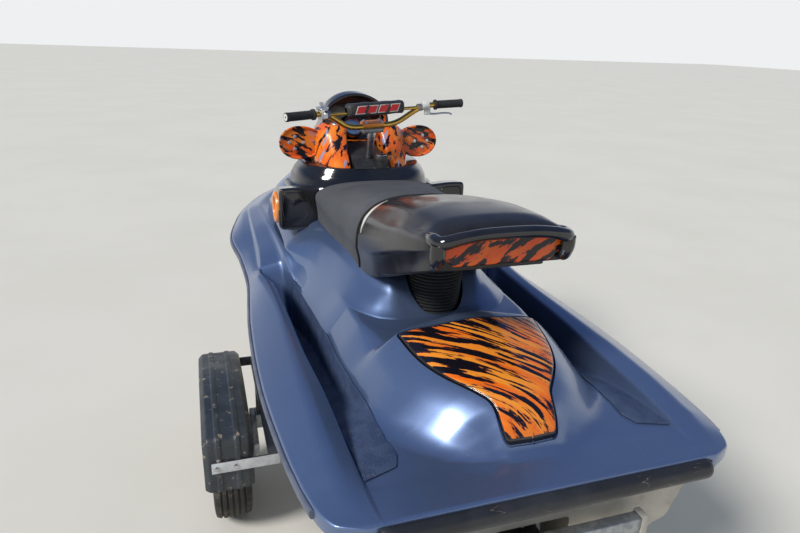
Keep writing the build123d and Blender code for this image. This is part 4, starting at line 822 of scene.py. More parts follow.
# Hull with its spray rails
hull_form = np.column_stack([   # place, keel, chine, rise of the bottom
    deck_table[2:, 0], [0] * 17 + [20, 95, 205, 310, 418],
    [409, 411, 413, 416, 420, 425, 432, 440, 442, 444, 446, 446, 440, 438, 434, 424, 408, 372, 280, 180, 96,
     24],
    [0.364] * 17 + [0.42, 0.55, 0.70, 0.90, 0.90]])
hull_y = np.linspace(100, DECK_FORE, 220)
keel, chine, rise = monotone(hull_form, hull_y).T
wide = np.minimum(12, 0.1 * chine)
hull_half = [(0, keel)]
for share in (0.36, 0.87):
    x = share * chine
    hull_half += [(x, keel + rise * x), (x + wide, keel + rise * x), (x + wide, keel + rise * (x + wide))]
hull_half.append((chine, keel + rise * chine))
hull_half = np.concatenate([columns(hull_half), deck_controls(hull_y, 14.0)[1]], 1)
hull_loops = whole(hull_half, [16, 2, 1.5, 2, 2, 1.5, 2, 7, 3, 3, 3, 3, 3], 4)
hull_skin = grid("hull_skin", on_craft(across(hull_loops, hull_y)))
tunnel = block("tunnel", (220, 1120, 444), (0, 0, 0), edge=12, segments=4)
intake = block("intake", (140, 1540, 344), (0, 0, 0), edge=12, segments=4)
carve(hull_skin, tunnel, intake)
dress(hull_skin, hull_gel, "hull")

# ---- saddle that carries the seat ----

flank_table = np.array([    # y, foot, shoulder, its rise, crown
    (700, 172, 140, 58, 118), (745, 212, 152, 59, 126), (800, 255, 170, 61, 142), (860, 268, 194, 64, 162),
    (940, 272, 212, 65, 176), (1230, 300, 242, 68, 198), (1290, 314, 254, 66, 208), (1400, 372, 292, 58, 230),
    (1440, 380, 300, 57, 238), (1800, 384, 308, 56, 242)], float)
TOP_EDGE = 100 - 16 * np.array([0.7, 0.45, 0.25, 0.1, 0.03, 0])
levels = np.concatenate([[-84, -64, -44, -26, -12, -4, 1, 5, 11], np.linspace(20, 84, 14), TOP_EDGE])
ROLL_FROM = 0.84            # share of the height above which the top edge rolls in
ROLL_SQUARE = 0.0256        # square of the share that is left


def saddle_outline(z):
    """Outline in x and y at a height above the ledge: flared foot, leaning flank, rolled top edge."""
    up = max(z, 0) / 100
    flare = 9 * (1 - min(max(z, 0), 16) / 16)**2
    rolled = max(up - ROLL_FROM, 0)**2
    rear = 702 + 98 * up - flare + 14 * rolled / ROLL_SQUARE
    at = rear + np.array([26, 60, 110, 180, 280, 400, 520, 600, 660, 720])
    foot, shoulder, rise, crown = monotone(flank_table, at).T
    x = np.where(z < rise, foot + (shoulder - foot) * max(z, 0) / rise,
                 shoulder + (crown - shoulder) * (z - rise) / (100 - rise))
    x = x + 4 + flare * np.clip((900 - at) / 200, 0, 1) - 16 * rolled / ROLL_SQUARE
    x = x - min(z, 0) * np.interp(at, [1160, 1230, 1400], [0.86, 0.7, 0.2])
    half = [(0, rear), (min(150 - 8 * up, x[0] - 14), rear), *zip(x, at), (x[-1], 1800), (0, 1800)]
    return whole(half, [2, 46, 46] + [60] * 9 + [2, 2], 7)


saddle_rows = np.array([saddle_outline(z) for z in levels])
saddle = grid("saddle_skin", on_craft(level(saddle_rows, LEDGE + levels)))
notch = lathe("notch", drum(-200, 200, 91), (0, BELLOWS_Y, SEAT), UP, 72)
carve(saddle, notch)
front_block = block("saddle_front", (500, 318, 168), (0, 1641, 585.5), edge=3)
saddle = joined("saddle_skin", saddle, front_block)
dress(saddle, paint, "console")

# ---- bow ----

cowl_table = np.array([
    (1800, 372, 350, 590, 262, 645, 712), (2050, 368, 340, 592, 250, 662, 730),
    (2300, 280, 250, 570, 190, 652, 680),
    (2500, 164, 146, 545, 106, 585, 600), (2615, 66, 56, 515, 40, 535, 540)], float)
COWL_FORE = 2615
cowl_y = spread((1800, 2600, 120), (2603, COWL_FORE, 8))
b, s, sz, t, tz, rz = monotone(cowl_table, cowl_y).T
cowl_half = columns([(0, rz), (t, tz), (s, sz), (b, LEDGE + 1)])
end = np.clip((COWL_FORE - cowl_y) / 14, 0, 1)
shrink = np.sqrt(1 - (1 - end)**2)[:, None]
cowl_half[..., 1] = LEDGE + (cowl_half[..., 1] - LEDGE) * (0.35 + 0.65 * shrink)
cowl_half[..., 0] *= 0.6 + 0.4 * shrink
cowl_loops = whole(cowl_half, [150, 60, 60, 6], 12)
bow_skin = grid("bow_skin", on_craft(across(cowl_loops, cowl_y)))

hatch_half = np.array([(0, 2228), (142, 2228), (158, 2250), (118, 2400), (96, 2466), (84, 2478), (0, 2478)],
                      float)
hatch_outline = rounded(np.concatenate([hatch_half, hatch_half[-2:0:-1] * [-1, 1]]),
                        np.array([2, 14, 16, 60, 14, 14, 2, 14, 14, 60, 16, 14.0]), 8)


def cowl_height(x, y):
    """Height of the bow cowl's upper face."""
    return height_over(cowl_loops, cowl_y, x, y)


hatch_well = draped("hatch_well", inset(hatch_outline, -4.0), 180.0, 198.0, 1.0, cowl_height)
store = block("store", (184, 150, 260), (0, 2337, 632))
relief = block("relief", (196, 58, 120), (0, 2453, 626))
# the cut faces take the darker gelcoat, painted shade in the recesses
for cutter in (hatch_well, store, relief):
    cutter.data.materials.append(painted_recess_shade)
bow_skin.data.materials.append(paint)
carve(bow_skin, hatch_well, store, relief)
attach(bow_skin, "craft")
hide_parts("bow_cowl")
hatch_skin = draped("hatch_skin", hatch_outline, 3.0, 12.0, 3.5, cowl_height)
dress(hatch_skin, paint, "front_hatch")

# ---- gauge hood ----

hood_table = np.array([
    (1806, 262, 250, 786, 150, 940, 1058), (1880, 258, 244, 786, 148, 944, 1064),
    (1960, 248, 226, 778, 144, 908, 1028), (2050, 232, 202, 758, 138, 842, 942),
    (2140, 214, 180, 722, 130, 768, 826), (2205, 196, 160, 694, 118, 708, 722)], float)
RECESS_Z, RECESS_TOP = 940, 1046    # spring line and top of the recess round the gauge
hood_y = np.linspace(1806, 2205, 70)
foot, waist, waist_z, spring, spring_z, top = monotone(hood_table, hood_y).T
turn = np.radians(np.linspace(0, 90, 26))
arch_x = spring[:, None] * np.sin(turn)
arch_z = spring_z[:, None] + (top - spring_z)[:, None] * np.cos(turn)
arch = np.stack([arch_x, arch_z], -1)
lower = rounded(columns([(spring, spring_z), (waist, waist_z), (foot, 625)]), [2, 70, 2], 12, closed=False)
hood_loops = mirrored(np.concatenate([arch, lower[:, 2:]], 1))
recess = spring[0] - 12
below = lower.shape[1] - 2
inner_loop = mirrored(np.concatenate([
    np.stack([recess * np.sin(turn), RECESS_Z + (RECESS_TOP - RECESS_Z) * np.cos(turn)], -1),
    np.stack([np.linspace(recess, spring[0] - 40, below), np.linspace(936, 851, below)], -1)]))
rows = np.concatenate([
    across(insets(inner_loop, (14, 0, 0, -3)), [1888, 1880, 1810, 1806.2]),
    across(insets(hood_loops[0], (4, 1.2, 0)), [1806, 1807.5, 1811]), across(hood_loops[1:], hood_y[1:])])
hood = grid("gauge_hood_skin", on_craft(rows))
hood.data.materials.append(gloss_black)
hood.data.materials.append(stripe_mirror)
# the faces of the recess take the second material
centres = np.empty(len(hood.data.polygons) * 3)
hood.data.polygons.foreach_get("center", centres)
x, y, z = (centres.reshape(-1, 3) * 1000 - [0, STERN, KEEL]).T
lined = (y < 1881) & (y > 1809) & (np.abs(x) < 138.1) & (z < 1048)
inside = np.hypot(x / 139, np.maximum(z - RECESS_Z, 0) / 108) < 1.0
hood.data.polygons.foreach_set("material_index", (lined & inside).astype(np.int32))
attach(hood, "craft")
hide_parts("gauge_hood")

DIAL_AT = np.array([0, 1868, 905])
dial_axis, dial_up = np.array([(0, -0.85, 0.52), (0, 0.52, 0.85)])
face = lathe("dial", [(0, 0), (0, 50), (16, 50), (19, 47), (19, 43), (14, 41)], DIAL_AT, dial_axis, 64)
ticks = []
for i, a in enumerate(np.radians(np.arange(-40, 221, 26))):
    out = np.cos(a) * np.array([1, 0, 0]) + np.sin(a) * dial_up
    ticks.append(lathe(f"tick_{i}", [(0, 1.1), (5, 0.9)], DIAL_AT + dial_axis * 15 + 34 * out, dial_axis, 8))
dial = joined("gauge_dial", face, *ticks)
dress(dial, gloss_black, "gauge_hood", False)
lens = lathe("gauge_lens", [(0, 0), (0, 41), (1.5, 40), (3, 30), (3.6, 0)], DIAL_AT + dial_axis * 14,
             dial_axis, 48)
dress(lens, stainless, "gauge_hood", False)

# ---- collar, pillars and pods ----

collar_low, collar_mid, collar_high = (whole(half, [90, 70, 70, 60, 6, 6], 9) for half in (
    [(0, 1452), (150, 1470), (262, 1540), (318, 1660), (323, 1790), (0, 1790)],
    [(0, 1486), (132, 1500), (236, 1562), (290, 1672), (296, 1790), (0, 1790)],
    [(0, 1512), (120, 1524), (206, 1580), (258, 1680), (266, 1790), (0, 1790)]))
collar_z, outlines, drawn_in = zip(
    (670.5, collar_low, 6), (672, collar_low, 2), (676, collar_low, 0), (688, collar_low, 0),
    (693, collar_low, 2.5), (697, collar_low, 9), (700, collar_low * 0.45 + collar_mid * 0.55, 4),
    (712, collar_low * 0.15 + collar_mid * 0.85, 1.5), (730, collar_mid, 0),
    (757, (collar_mid + collar_high) / 2, -1), (775, collar_high, -0.5), (781, collar_high, 1),
    (784.2, collar_high, 5), (COLLAR_TOP, collar_high, 10))
collar = grid("collar_skin", on_craft(level(inset(np.array(outlines), drawn_in), collar_z)))
dress(collar, gloss_black, "collar")

PILLAR_TOP = 938
pillar_levels = np.array([
    (785, 84, 1532, 152, 1556, 196, 1660, 210, 1788, 96, 1788),
    (845, 80, 1604, 144, 1612, 196, 1690, 208, 1788, 88, 1788),
    (905, 72, 1662, 128, 1656, 188, 1702, 200, 1788, 78, 1788),
    (PILLAR_TOP, 66, 1690, 110, 1680, 158, 1712, 168, 1788, 72, 1788)], float)
pillar_z = np.concatenate([np.linspace(786, 930, 24), PILLAR_TOP - 8 * np.cos(np.radians([30, 60, 80, 90]))])
shape = monotone(pillar_levels, np.minimum(pillar_z, PILLAR_TOP)).reshape(len(pillar_z), 5, 2)
pillar_loops = inset(rounded(shape, [26, 44, 50, 18, 18], 9), np.concatenate([np.zeros(25), [1.5, 4, 8]]))
for side, name in SIDES:
    pillar = grid("pillar_skin_" + name, on_craft(level(pillar_loops * [side, 1], pillar_z)))
    dress(pillar, stripe_pillar, "pillars")
    cap = lathe("pillar_cap_" + name, [(0, 0), (0, 17), (4, 17), (8, 14), (10, 7), (10.4, 0)],
                (side * 112, 1722, 936), (0, -0.25, 1), 32)
    dress(cap, alloy, "pillars", False)

pod_loop = rounded([(230, 568), (330, 565), (386, 567), (392, 584), (392, 712), (386, 728), (330, 731),
                    (230, 722)], [3, 40, 9, 12, 14, 9, 40, 3], 9)
POD_REAR = 1465
POD_FOOT = 590              # the outline above it sinks towards the bow
PLATE = 1479.6              # behind it the pod reaches further in
phi = np.radians([0, 25, 50, 75, 90])
roll_y, roll_off = 10 * (1 - np.cos(phi)), 10 * (1 - np.sin(phi))
pod_y = POD_REAR + np.concatenate([roll_y, [14.5, 14.7], np.linspace(18, 318, 18), 330 - roll_y[::-1]])
pod_rows = insets(pod_loop, np.concatenate([roll_off, np.zeros(20), roll_off[::-1]]))
pod_z = pod_rows[..., 1]
top = np.interp(pod_y, [POD_REAR, 1540, 1600, 1650, 1720, 1795], [731, 723, 702, 672, 640, 612])[:, None]
pod_rows[..., 1] = np.where(pod_z > POD_FOOT, POD_FOOT + (pod_z - POD_FOOT) * (top - POD_FOOT) / 141, pod_z)
pod_rows[..., 0] = np.maximum(pod_rows[..., 0], np.where(pod_y < PLATE, 231.0, 250.3)[:, None])
facet = rounded(np.insert(np.array([(372, 712), (292, 710), (272, 664), (284, 612), (330, 590), (372, 592),
                                    (380, 650)], float), 1, 1464.2, axis=1), 16, 8)
flange_line = rounded([(234, 1464, 572), (330, 1464, 568), (382, 1465, 569), (391, 1470, 584),
                       (391, 1473, 640)], 14, 7, closed=False)
flange_radius = np.interp(np.arange(len(flange_line)), [0, 6, 22, 34], [4, 6, 6, 2])
VENT = np.array([391, 1570, 630.0])
VENT_R = 44.5
VENT_RING = [(-28, 44), (4, 44), (8, 47), (9.5, 54), (8, 61), (3, 65), (-6, 65.6), (-28, 65.6), (-28, 44.02)]
for side, name in SIDES:
    flip = np.array([side, 1, 1])
    pod = grid("pod_skin_" + name, on_craft(across(pod_rows, pod_y) * flip))
    hole = lathe("vent_hole", drum(-23, 60, 61), VENT * flip, (side, 0, 0), 64)
    carve(pod, hole)
    bead = tube("pod_bead", np.vstack([facet, facet[:1]]) * flip, 1.8, 8, up=(0, 1, 0), caps=(False, False))
    flange = tube("pod_flange", flange_line * flip, flange_radius, 12, up=(0, 1, 0))
    pod = joined("pod_skin_" + name, pod, bead, flange)
    dress(pod, gloss_black, "side_pods")
    ring = lathe("vent_ring_skin_" + name, VENT_RING, VENT * flip, (side, 0, 0), 72)
    dress(ring, orange_part, "vent_rings")
    slats = []
    for i, h in enumerate(np.arange(-32, 33, 16.0)):
        reach = np.linspace(-1, 1, 12) * np.sqrt(VENT_R**2 - h**2)
        bar = np.stack(np.broadcast_arrays(side * 384.0, VENT[1] + reach, VENT[2] + h), -1)
        slats.append(tube(f"slat_{i}", bar, 2.6, 10, flat=1.6))
    back = lathe("vent_back", drum(-25, -23, VENT_R), VENT * flip, (side, 0, 0), 40)
    grille = joined("vent_grille_" + name, back, *slats)
    dress(grille, gloss_black, "vent_rings", False)

# Mirror housings: dished plates behind rounded shells
angle = np.linspace(0, 2 * np.pi, 72, endpoint=False)
shell = np.array([(1725, 0.03), (1725, 0.60), (1724.5, 0.84), (1720, 0.885), (1718.2, 0.93), (1719, 0.975),
                  (1723, 1.0), (1731, 0.985), (1745, 0.93), (1760, 0.85), (1771, 0.77), (1778, 0.68),
                  (1780, 0.58), (1780, 0.03)], float)
MIRROR_X, MIRROR_Z = 256, 862
for side, name in SIDES:
    leant = MIRROR_X - 0.3 * (shell[:, 0] - 1718)
    x = side * leant[:, None] + 98 * shell[:, 1:] * np.cos(angle)
    bulge = 1 + 0.10 * np.cos(angle + (0 if side > 0 else np.pi))
    z = MIRROR_Z + 70 * shell[:, 1:] * np.sin(angle) * bulge
    y = np.broadcast_to(shell[:, :1], x.shape)
    mirror = grid("mirror_skin_" + name, on_craft(np.stack([x, y, z], -1)))
    dress(mirror, stripe_mirror, "mirrors")
    heads = [bolt(f"mirror_bolt_{i}", (side * (MIRROR_X + dx), 1725, MIRROR_Z + dz), (0, -1, 0), 5.0, 4.0)
             for i, (dx, dz) in enumerate(((30, 26), (30, -26), (-6, 0), (52, 2)))]
    dress(joined("mirror_bolts_" + name, *heads), alloy, "mirrors", False)

# ---- steering ----

column = rebuilt("column_base", 5, 3)
dress(column, moulded, "column_base")
cap_skirt = [(30, 24), (32, 29.6), (46, 29.6), (51, 27.5), (53, 23), (53, 18), (50, 17), (50, 0)]
cap = joined("fuel_cap_skin", lathe("cap_neck", [(0, 26), (34, 26)], (*CAP_AT, COLLAR_TOP), UP, 48),
             lathe("cap_skirt", cap_skirt, (*CAP_AT, COLLAR_TOP), UP, 64),
             block("cap_bar", (40, 9, 10), (*CAP_AT, 836), np.array([[0.9, 0.43, 0], [-0.43, 0.9, 0], UP]),
                   edge=3, segments=3))
dress(cap, moulded, "fuel_cap")
ring = lathe("fuel_cap_ring", [(0, 24.5), (2.4, 24.5), (3, 23), (2.4, 20.5), (0, 20.5), (0, 24.4)],
             (*CAP_AT, 836.5), UP, 64)
dress(ring, stainless, "fuel_cap", False)

bar_half = np.array([(378, 1471, 1027), (212, 1507, 1025), (105, 1541, 956)], float)
bar_path = np.vstack([bar_half * [-1, 1, 1], bar_half[::-1]])
bar_line = line_through(bar_path, [1, 46, 40, 40, 46, 1], 14)
cross_end = bar_half[2] + (bar_half[1] - bar_half[2]) * 0.9
cross = np.linspace(-1, 1, 9)[:, None] * [cross_end[0], 0, 0] + [0, cross_end[1], cross_end[2]]
rod = tube("handlebar_skin", turned(bar_line), 11, 24)
brace = tube("brace", turned(cross), 6.5, 16)
clips = [tube(f"clip_{s}", turned(np.array([(s * (cross_end[0] - 9), cross_end[1], cross_end[2]),
                                            (s * (cross_end[0] + 9), cross_end[1], cross_end[2])])), 14.5, 24)
         for s in (-1, 1)]
dress(joined("handlebar_skin", rod, brace), gold, "handlebar")
dress(joined("brace_clips", *clips), cast, "handlebar", False)

grip_dir = (bar_half[0] - bar_half[1]) / np.linalg.norm(bar_half[0] - bar_half[1])


def bar_frame(side, back):
    """Place and directions at a distance in from one end of the bars: out, forward, up."""
    spot = (bar_half[0] - grip_dir * back) * [side, 1, 1]
    out = grip_dir * [side, 1, 1]
    ahead = np.cross([0, 0, 1.0], out) * side
    ahead /= np.linalg.norm(ahead)
    rise = np.cross(out, ahead) * side
    return turned(spot), spun(out), spun(ahead), spun(rise)


grip_profile = [(-118, 11.3), (-118, 20.5), (-110, 20.5)]
for start in np.arange(-108, -10, 6.5):
    grip_profile += [(start, 16.4), (start + 3.2, 16.4), (start + 4.0, 15.0), (start + 5.7, 15.0)]
grip_profile += [(-9, 16.4), (-4, 17.2), (1, 17.2), (4, 15.5), (4, 11.3)]
for side, name in SIDES:
    spot, out, ahead, rise = bar_frame(side, 0)
    grip = lathe("grip_skin_" + name, grip_profile, spot, out, 40)
    dress(grip, soft_black, "grips")
    plug = lathe("grip_end_" + name, [(0, 0), (4.6, 5), (4.6, 12.5), (3, 13.5), (0, 13.5)], spot, out, 32)
    dress(plug, white_part if side < 0 else moulded, "grips", False)

CONTROL = 156               # from the end of the bars in to the controls
spot, out, ahead, rise = bar_frame(-1, CONTROL)
axes = np.array([out, ahead, rise])
perch = joined("perch_skin", block("perch_low", (30, 34, 40), spot, axes, edge=4, segments=3),
               block("perch_top", (44, 26, 12), spot + rise * 20, axes, edge=3, segments=3),
               lathe("perch_post", [(0, 6), (16, 6), (18, 8), (26, 8), (27, 6)],
                     spot + rise * 14 + ahead * 4, rise, 24),
               bolt("perch_bolt", spot - ahead * 17, -ahead, 5, 4))
dress(perch, alloy, "bar_controls")
eye = lathe("perch_eye", [(0, 0), (0, 6), (2, 6), (2.4, 0)], spot - ahead * 17.2 + rise * 8 - out * 6, -ahead,
            24)
dress(eye, gloss_black, "bar_controls", False)
spot, out, ahead, rise = bar_frame(1, CONTROL)
axes = np.array([out, ahead, rise])
clamp_ring = lathe("clamp_ring", [(-14, 11.4), (-14, 17), (-12, 18), (12, 18), (14, 17), (14, 11.4)], spot,
                   out, 40)
holder = joined("lever_clamp", clamp_ring,
                block("lever_lug", (26, 14, 26), spot - rise * 25 + out * 8, axes, edge=4, segments=3))
dress(holder, white_part, "bar_controls")
pivot = spot - rise * 34 + out * 10
lever_line = rounded([pivot, pivot + out * 30 - rise * 3, pivot + out * 70 - rise * 1,
                      pivot + out * 96 - rise * 4, pivot + out * 104 - rise * 9], 14, 6, closed=False)
lever_radius = np.interp(np.arange(len(lever_line)), [0, 20, 29], [6, 5, 4.5])
lever = tube("throttle_lever", lever_line, lever_radius, 16, flat=0.7)
dress(lever, alloy, "bar_controls", False)

PAD_HALF, PAD_ROLL = 126, 16
roll = PAD_ROLL * (1 - np.sin(np.radians([0, 20, 45, 70])))
cushion_x = np.concatenate([PAD_HALF - roll, np.linspace(108, -108, 30), roll[::-1] - PAD_HALF])
square = rounded(np.array([(-23, -25), (23, -25), (23, 25), (-23, 25)], float), 15, 8)
pad_scale = np.sqrt(np.clip(1 - (np.clip(np.abs(cushion_x) - 110, 0, PAD_ROLL) / 16.5)**2, 0.05, 1))
pad_scale = pad_scale * (1 - 0.035 * np.cos(cushion_x / PAD_HALF * np.pi * 3))
pad_rows = square[None] * pad_scale[:, None, None]
pad_rows = np.stack([np.broadcast_to(cushion_x[:, None], pad_rows.shape[:2]), pad_rows[..., 0] + cross_end[1],
                     pad_rows[..., 1] + cross_end[2] + 10], -1)
bar_cushion = grid("bar_cushion", on_craft(turned(pad_rows)))
dress(bar_cushion, moulded, "bar_pad")
pad_at = [0, cross_end[1], cross_end[2] + 10]
for tone, grow, off in ((white_part, 3.0, 0.0), (red_print, 0.0, 0.6)):
    for i, x0 in enumerate((-88, -40, 8, 56)):
        low_x, high_x = x0 - grow * 1.3, x0 + 34 + grow * 1.3
        face = -23.3 - off
        corner = np.array([[(low_x - 5, face, -12 - grow), (high_x - 5, face, -12 - grow)],
                           [(low_x + 7, face, 13 + grow), (high_x + 7, face, 13 + grow)]])
        mark = sheet_of(f"bar_mark_{tone.name}_{i}", on_craft(turned(corner + pad_at)), 0.0008)
        dress(mark, tone, "bar_pad", False)
seam_line = np.stack(np.broadcast_arrays(cushion_x[3:-3], cross_end[1] + 18.5, cross_end[2] + 29), -1)
seam = tube("bar_cushion_seam", turned(seam_line), 1.2, 8)
dress(seam, soft_black, "bar_pad", False)

stem_axes = np.array([(1, 0, 0), (0, np.cos(RAKE), np.sin(RAKE)), STEM])
stem_axes = np.array([spun(a) for a in stem_axes])
post = lathe("steering_stem_skin", [(-150, 0), (-150, 16), (-60, 16), (-58, 17), (-24, 17), (-22, 21),
                                    (-14, 21)], CLAMP, STEM, 40)
dress(post, alloy, "steering_stem")
lower_clamp = block("lower_clamp", (92, 42, 20), CLAMP - STEM * 11, stem_axes, edge=5, segments=3)
dress(lower_clamp, cast, "steering_stem", False)
upper_clamp = block("upper_clamp", (94, 40, 15), CLAMP + STEM * 14.5, stem_axes, edge=5, segments=3)
dress(upper_clamp, orange_part, "steering_stem", False)
heads = [bolt(f"clamp_bolt_{i}", CLAMP + STEM * 22 + stem_axes[0] * dx + stem_axes[1] * dy, STEM, 4.5, 4.0)
         for i, (dx, dy) in enumerate(((-34, 13), (34, 13), (-34, -13), (34, -13)))]
dress(joined("clamp_bolts", *heads), alloy, "steering_stem", False)

# ---- seat ----

SEAT_SPLIT = 948            # where the tail of the seat ends
tail_table = np.array([(372, 176, 190, 838, 886), (440, 186, 200, 812, 896), (550, 192, 207, 772, 893),
                       (690, 197, 212, 716, 874), (800, 199, 214, 680, 853), (948, 202, 214, 652, 816)], float)
pad_table = np.array([(952, 202, 210, 650, 812), (1110, 208, 218, 656, 798), (1300, 230, 242, 668, 776),
                      (1462, 244, 254, 688, 750)], float)
under_line = np.array([(372, 784), (440, 756), (550, 712), (690, 652), (797, 606), (SEAT_SPLIT, 581),
                       (1120, 584), (1462, 600)], float)


def cushion_rows(table, ys, under, power, edge_front, edge_rear, hollow=0.0):
    """Seat outlines: a crown shaped as a rounded oblong over flanks that draw in below.

    Half width and height at a turn are side cos^(2/n) and rise sin^(2/n); the ends
    are drawn in by a quarter circle over the edge lengths.
    """
    base, side, side_z, crown = monotone(table, np.clip(ys, table[0, 0], table[-1, 0])).T
    turn = np.radians(np.linspace(90, 0, 40))
    x = side[:, None] * np.cos(turn)**(2 / power)
    z = side_z[:, None] + (crown - side_z)[:, None] * np.sin(turn)**(2 / power)
    if hollow:
        dip = np.exp(-((x / side[:, None] - 0.86) / 0.10)**2)
        z -= hollow * dip * np.interp(ys, [372, 480, 700, 860, 948], [0, 1, 1, 0.5, 0])[:, None]
    t = np.linspace(0, 1, 14)[1:]
    flank_x = side[:, None] + (base - side)[:, None] * (t + 0.20 * np.sin(np.pi * t))
    flank_z = side_z[:, None] + (under - side_z)[:, None] * t
    half = np.stack([np.concatenate([x, flank_x], 1), np.concatenate([z, flank_z], 1)], -1)
    ends = np.minimum((ys - ys[0]) / max(edge_rear, 1e-6), (ys[-1] - ys) / max(edge_front, 1e-6))
    pull = np.sqrt(1 - (1 - np.clip(ends, 0, 1))**2)[:, None]
    half[..., 0] *= 0.93 + 0.07 * pull
    half[..., 1] = under[:, None] + (half[..., 1] - under[:, None]) * (0.90 + 0.10 * pull)
    return across(mirrored(half), ys)


pad_y = np.concatenate([952 + 16 * np.linspace(0, 1, 7)**2, np.linspace(975, 1440, 60),
                        1462 - 14 * np.linspace(1, 0, 7)**2])
pad_under = monotone(under_line, pad_y)[:, 0]
pad = grid("seat_pad_skin", on_craft(cushion_rows(pad_table, pad_y, pad_under, 2.7, 14, 16)))
dress(pad, seat_grip, "seat_pad")
tail_y = np.concatenate([370 + 28 * np.linspace(0, 1, 8)**2, np.linspace(405, 925, 80),
                         SEAT_SPLIT - 14 * np.linspace(1, 0, 7)**2])
tail_under = monotone(under_line, np.clip(tail_y, 372, SEAT_SPLIT))[:, 0]
tail = grid("seat_tail_skin", on_craft(cushion_rows(tail_table, tail_y, tail_under, 2.9, 14, 26, 12.0)))
dress(tail, seat_vinyl, "seat_tail")

seam_loop = cushion_rows(tail_table, np.array([900.0, 950.0, 1000.0]), np.full(3, 581.0), 2.8, 0, 0)[1]
seam_half = seam_loop[:(len(seam_loop) + 1) // 2]
seam_line = np.vstack([seam_half[:0:-1] * [-1, 1, 1], seam_half])
piping = tube("seat_piping", seam_line, 3.4, 10, up=(0, 1, 0))
dress(piping, soft_black, "seat_tail", False)
swoosh_y = np.array([840.0, 880.0, 940.0, 1000.0])
swoosh = cushion_rows(tail_table, swoosh_y, np.full(4, 588.0), 2.8, 0, 0)[1:3, 12:35] * [-1, 1, 1]
swoosh_w = 11.0 * np.sin(np.linspace(0.06, np.pi - 0.06, swoosh.shape[1]))[:, None]
away = swoosh[0] * [1, 0, 1] - [0, 0, 700]
away /= np.linalg.norm(away, axis=1)[:, None]
swoosh_edges = [swoosh[0] + (swoosh[1] - swoosh[0]) * (24 + side * swoosh_w) / 60 + 2.4 * away
                for side in (-1, 1)]
swoosh_mark = sheet_of("seat_swoosh", on_craft(np.stack(swoosh_edges, 1)), 0.0016)
dress(swoosh_mark, white_part, "seat_tail", False)

# a roll frames the striped panel: across its top, round both corners and down its ends
lip_half = np.array([(162, 480, 846), (172, 400, 850), (170, 347, 854), (130, 337, 868), (74, 335, 876)], float)
lip_line = np.concatenate([lip_half * [-1, 1, 1], [(0, 335, 877.5)], lip_half[::-1]])
lip_path = line_through(lip_line, 40, 9)
span = np.abs(np.linspace(-1, 1, len(lip_path)))
lip_radius = np.interp(span, [0, 0.35, 0.6, 0.8, 0.93, 1], [15, 15, 17, 20, 16, 5])
lip = tube("seat_lip", lip_path, lip_radius, 36)
post_line = line_through([(172, 354, 852), (173, 355, 826), (170, 364, 800), (166, 384, 790)], 9, 9)
post_radius = 19 * np.sqrt(1 - 0.94 * np.linspace(0, 1, len(post_line))**5)
posts = [tube(f"lip_post_{side}", post_line * [side, 1, 1], post_radius, 28, up=(0, 1, 0)) for side in (-1, 1)]
dress(joined("seat_lip", lip, *posts), gloss_black, "grab_handle")
under_lip = rebuilt("tail_panel", 4, 3)
# the panel's wrap carries its shaded tone: painted shade over the real stripes
dress(under_lip, stripe_panel_painted_shade, "tail_panel")
pan = rebuilt("seat_base", 4, 2)
dress(pan, moulded, "seat_base")

# ---- bellows ----

RIBS = 13
rib_z = np.linspace(0, 1, RIBS * 12 + 1)
rib_r = 71 + 8 * np.abs(np.cos(np.pi * RIBS * rib_z))**0.7 + 8 * rib_z
boot = lathe("bellows_skin", np.column_stack([142 * rib_z, rib_r]), (0, BELLOWS_Y, LEDGE), UP, 72,
             sharp=60)
dress(boot, soft_black, "bellows")

# ---- rub rails and stern bumper ----

rail_y = np.linspace(100, DECK_FORE, 200)
made = monotone(deck_table, rail_y)
edge_x, edge_top = made[:, 14], made[:, 15] - 4
section = rounded(np.array([(0.3, 0), (7, -2), (9, -8), (9, -17), (6, -24), (0.3, -26)], float), 3, 4)
for side, name in SIDES:
    x = side * (edge_x[:, None] + section[:, 0])
    z = edge_top[:, None] + section[:, 1]
    rail = grid("rub_rail_" + name, on_craft(np.stack([x, np.broadcast_to(rail_y[:, None], x.shape), z], -1)))
    dress(rail, rail_grey, "rub_rails")

quarter = np.radians([0, 30, 60, 90])
roll_x, roll_off = 14 * (1 - np.cos(quarter)), 14 * (1 - np.sin(quarter))
bumper_x = np.concatenate([-405 + roll_x, np.linspace(-380, 380, 60), 405 - roll_x[::-1]])
bumper_off = np.concatenate([roll_off, np.zeros(60), roll_off[::-1]])
turn = np.radians(np.linspace(90, 270, 20))
bumper_loop = np.concatenate([np.column_stack([7 + 22 * np.cos(turn), 375 + 25 * np.sin(turn)]),
                              [(11.8, 352), (11.8, 398)]])
bumper_rows = insets(bumper_loop, bumper_off * 0.7)
along = np.broadcast_to(bumper_x[:, None], bumper_rows.shape[:2])
p = np.stack([along, bumper_rows[..., 0], bumper_rows[..., 1]], -1)
dress(grid("bumper_skin", on_craft(p)), bumper_black, "stern_bumper")

# ---- running gear ----

WHEEL_R, BEAD_R, TREAD = 243, 127, 61


def groove(x, centre, width):
    """Share of a groove's depth round the tyre, full in its middle."""
    return np.clip(1.6 - np.abs(x - centre) / width, 0, 1)


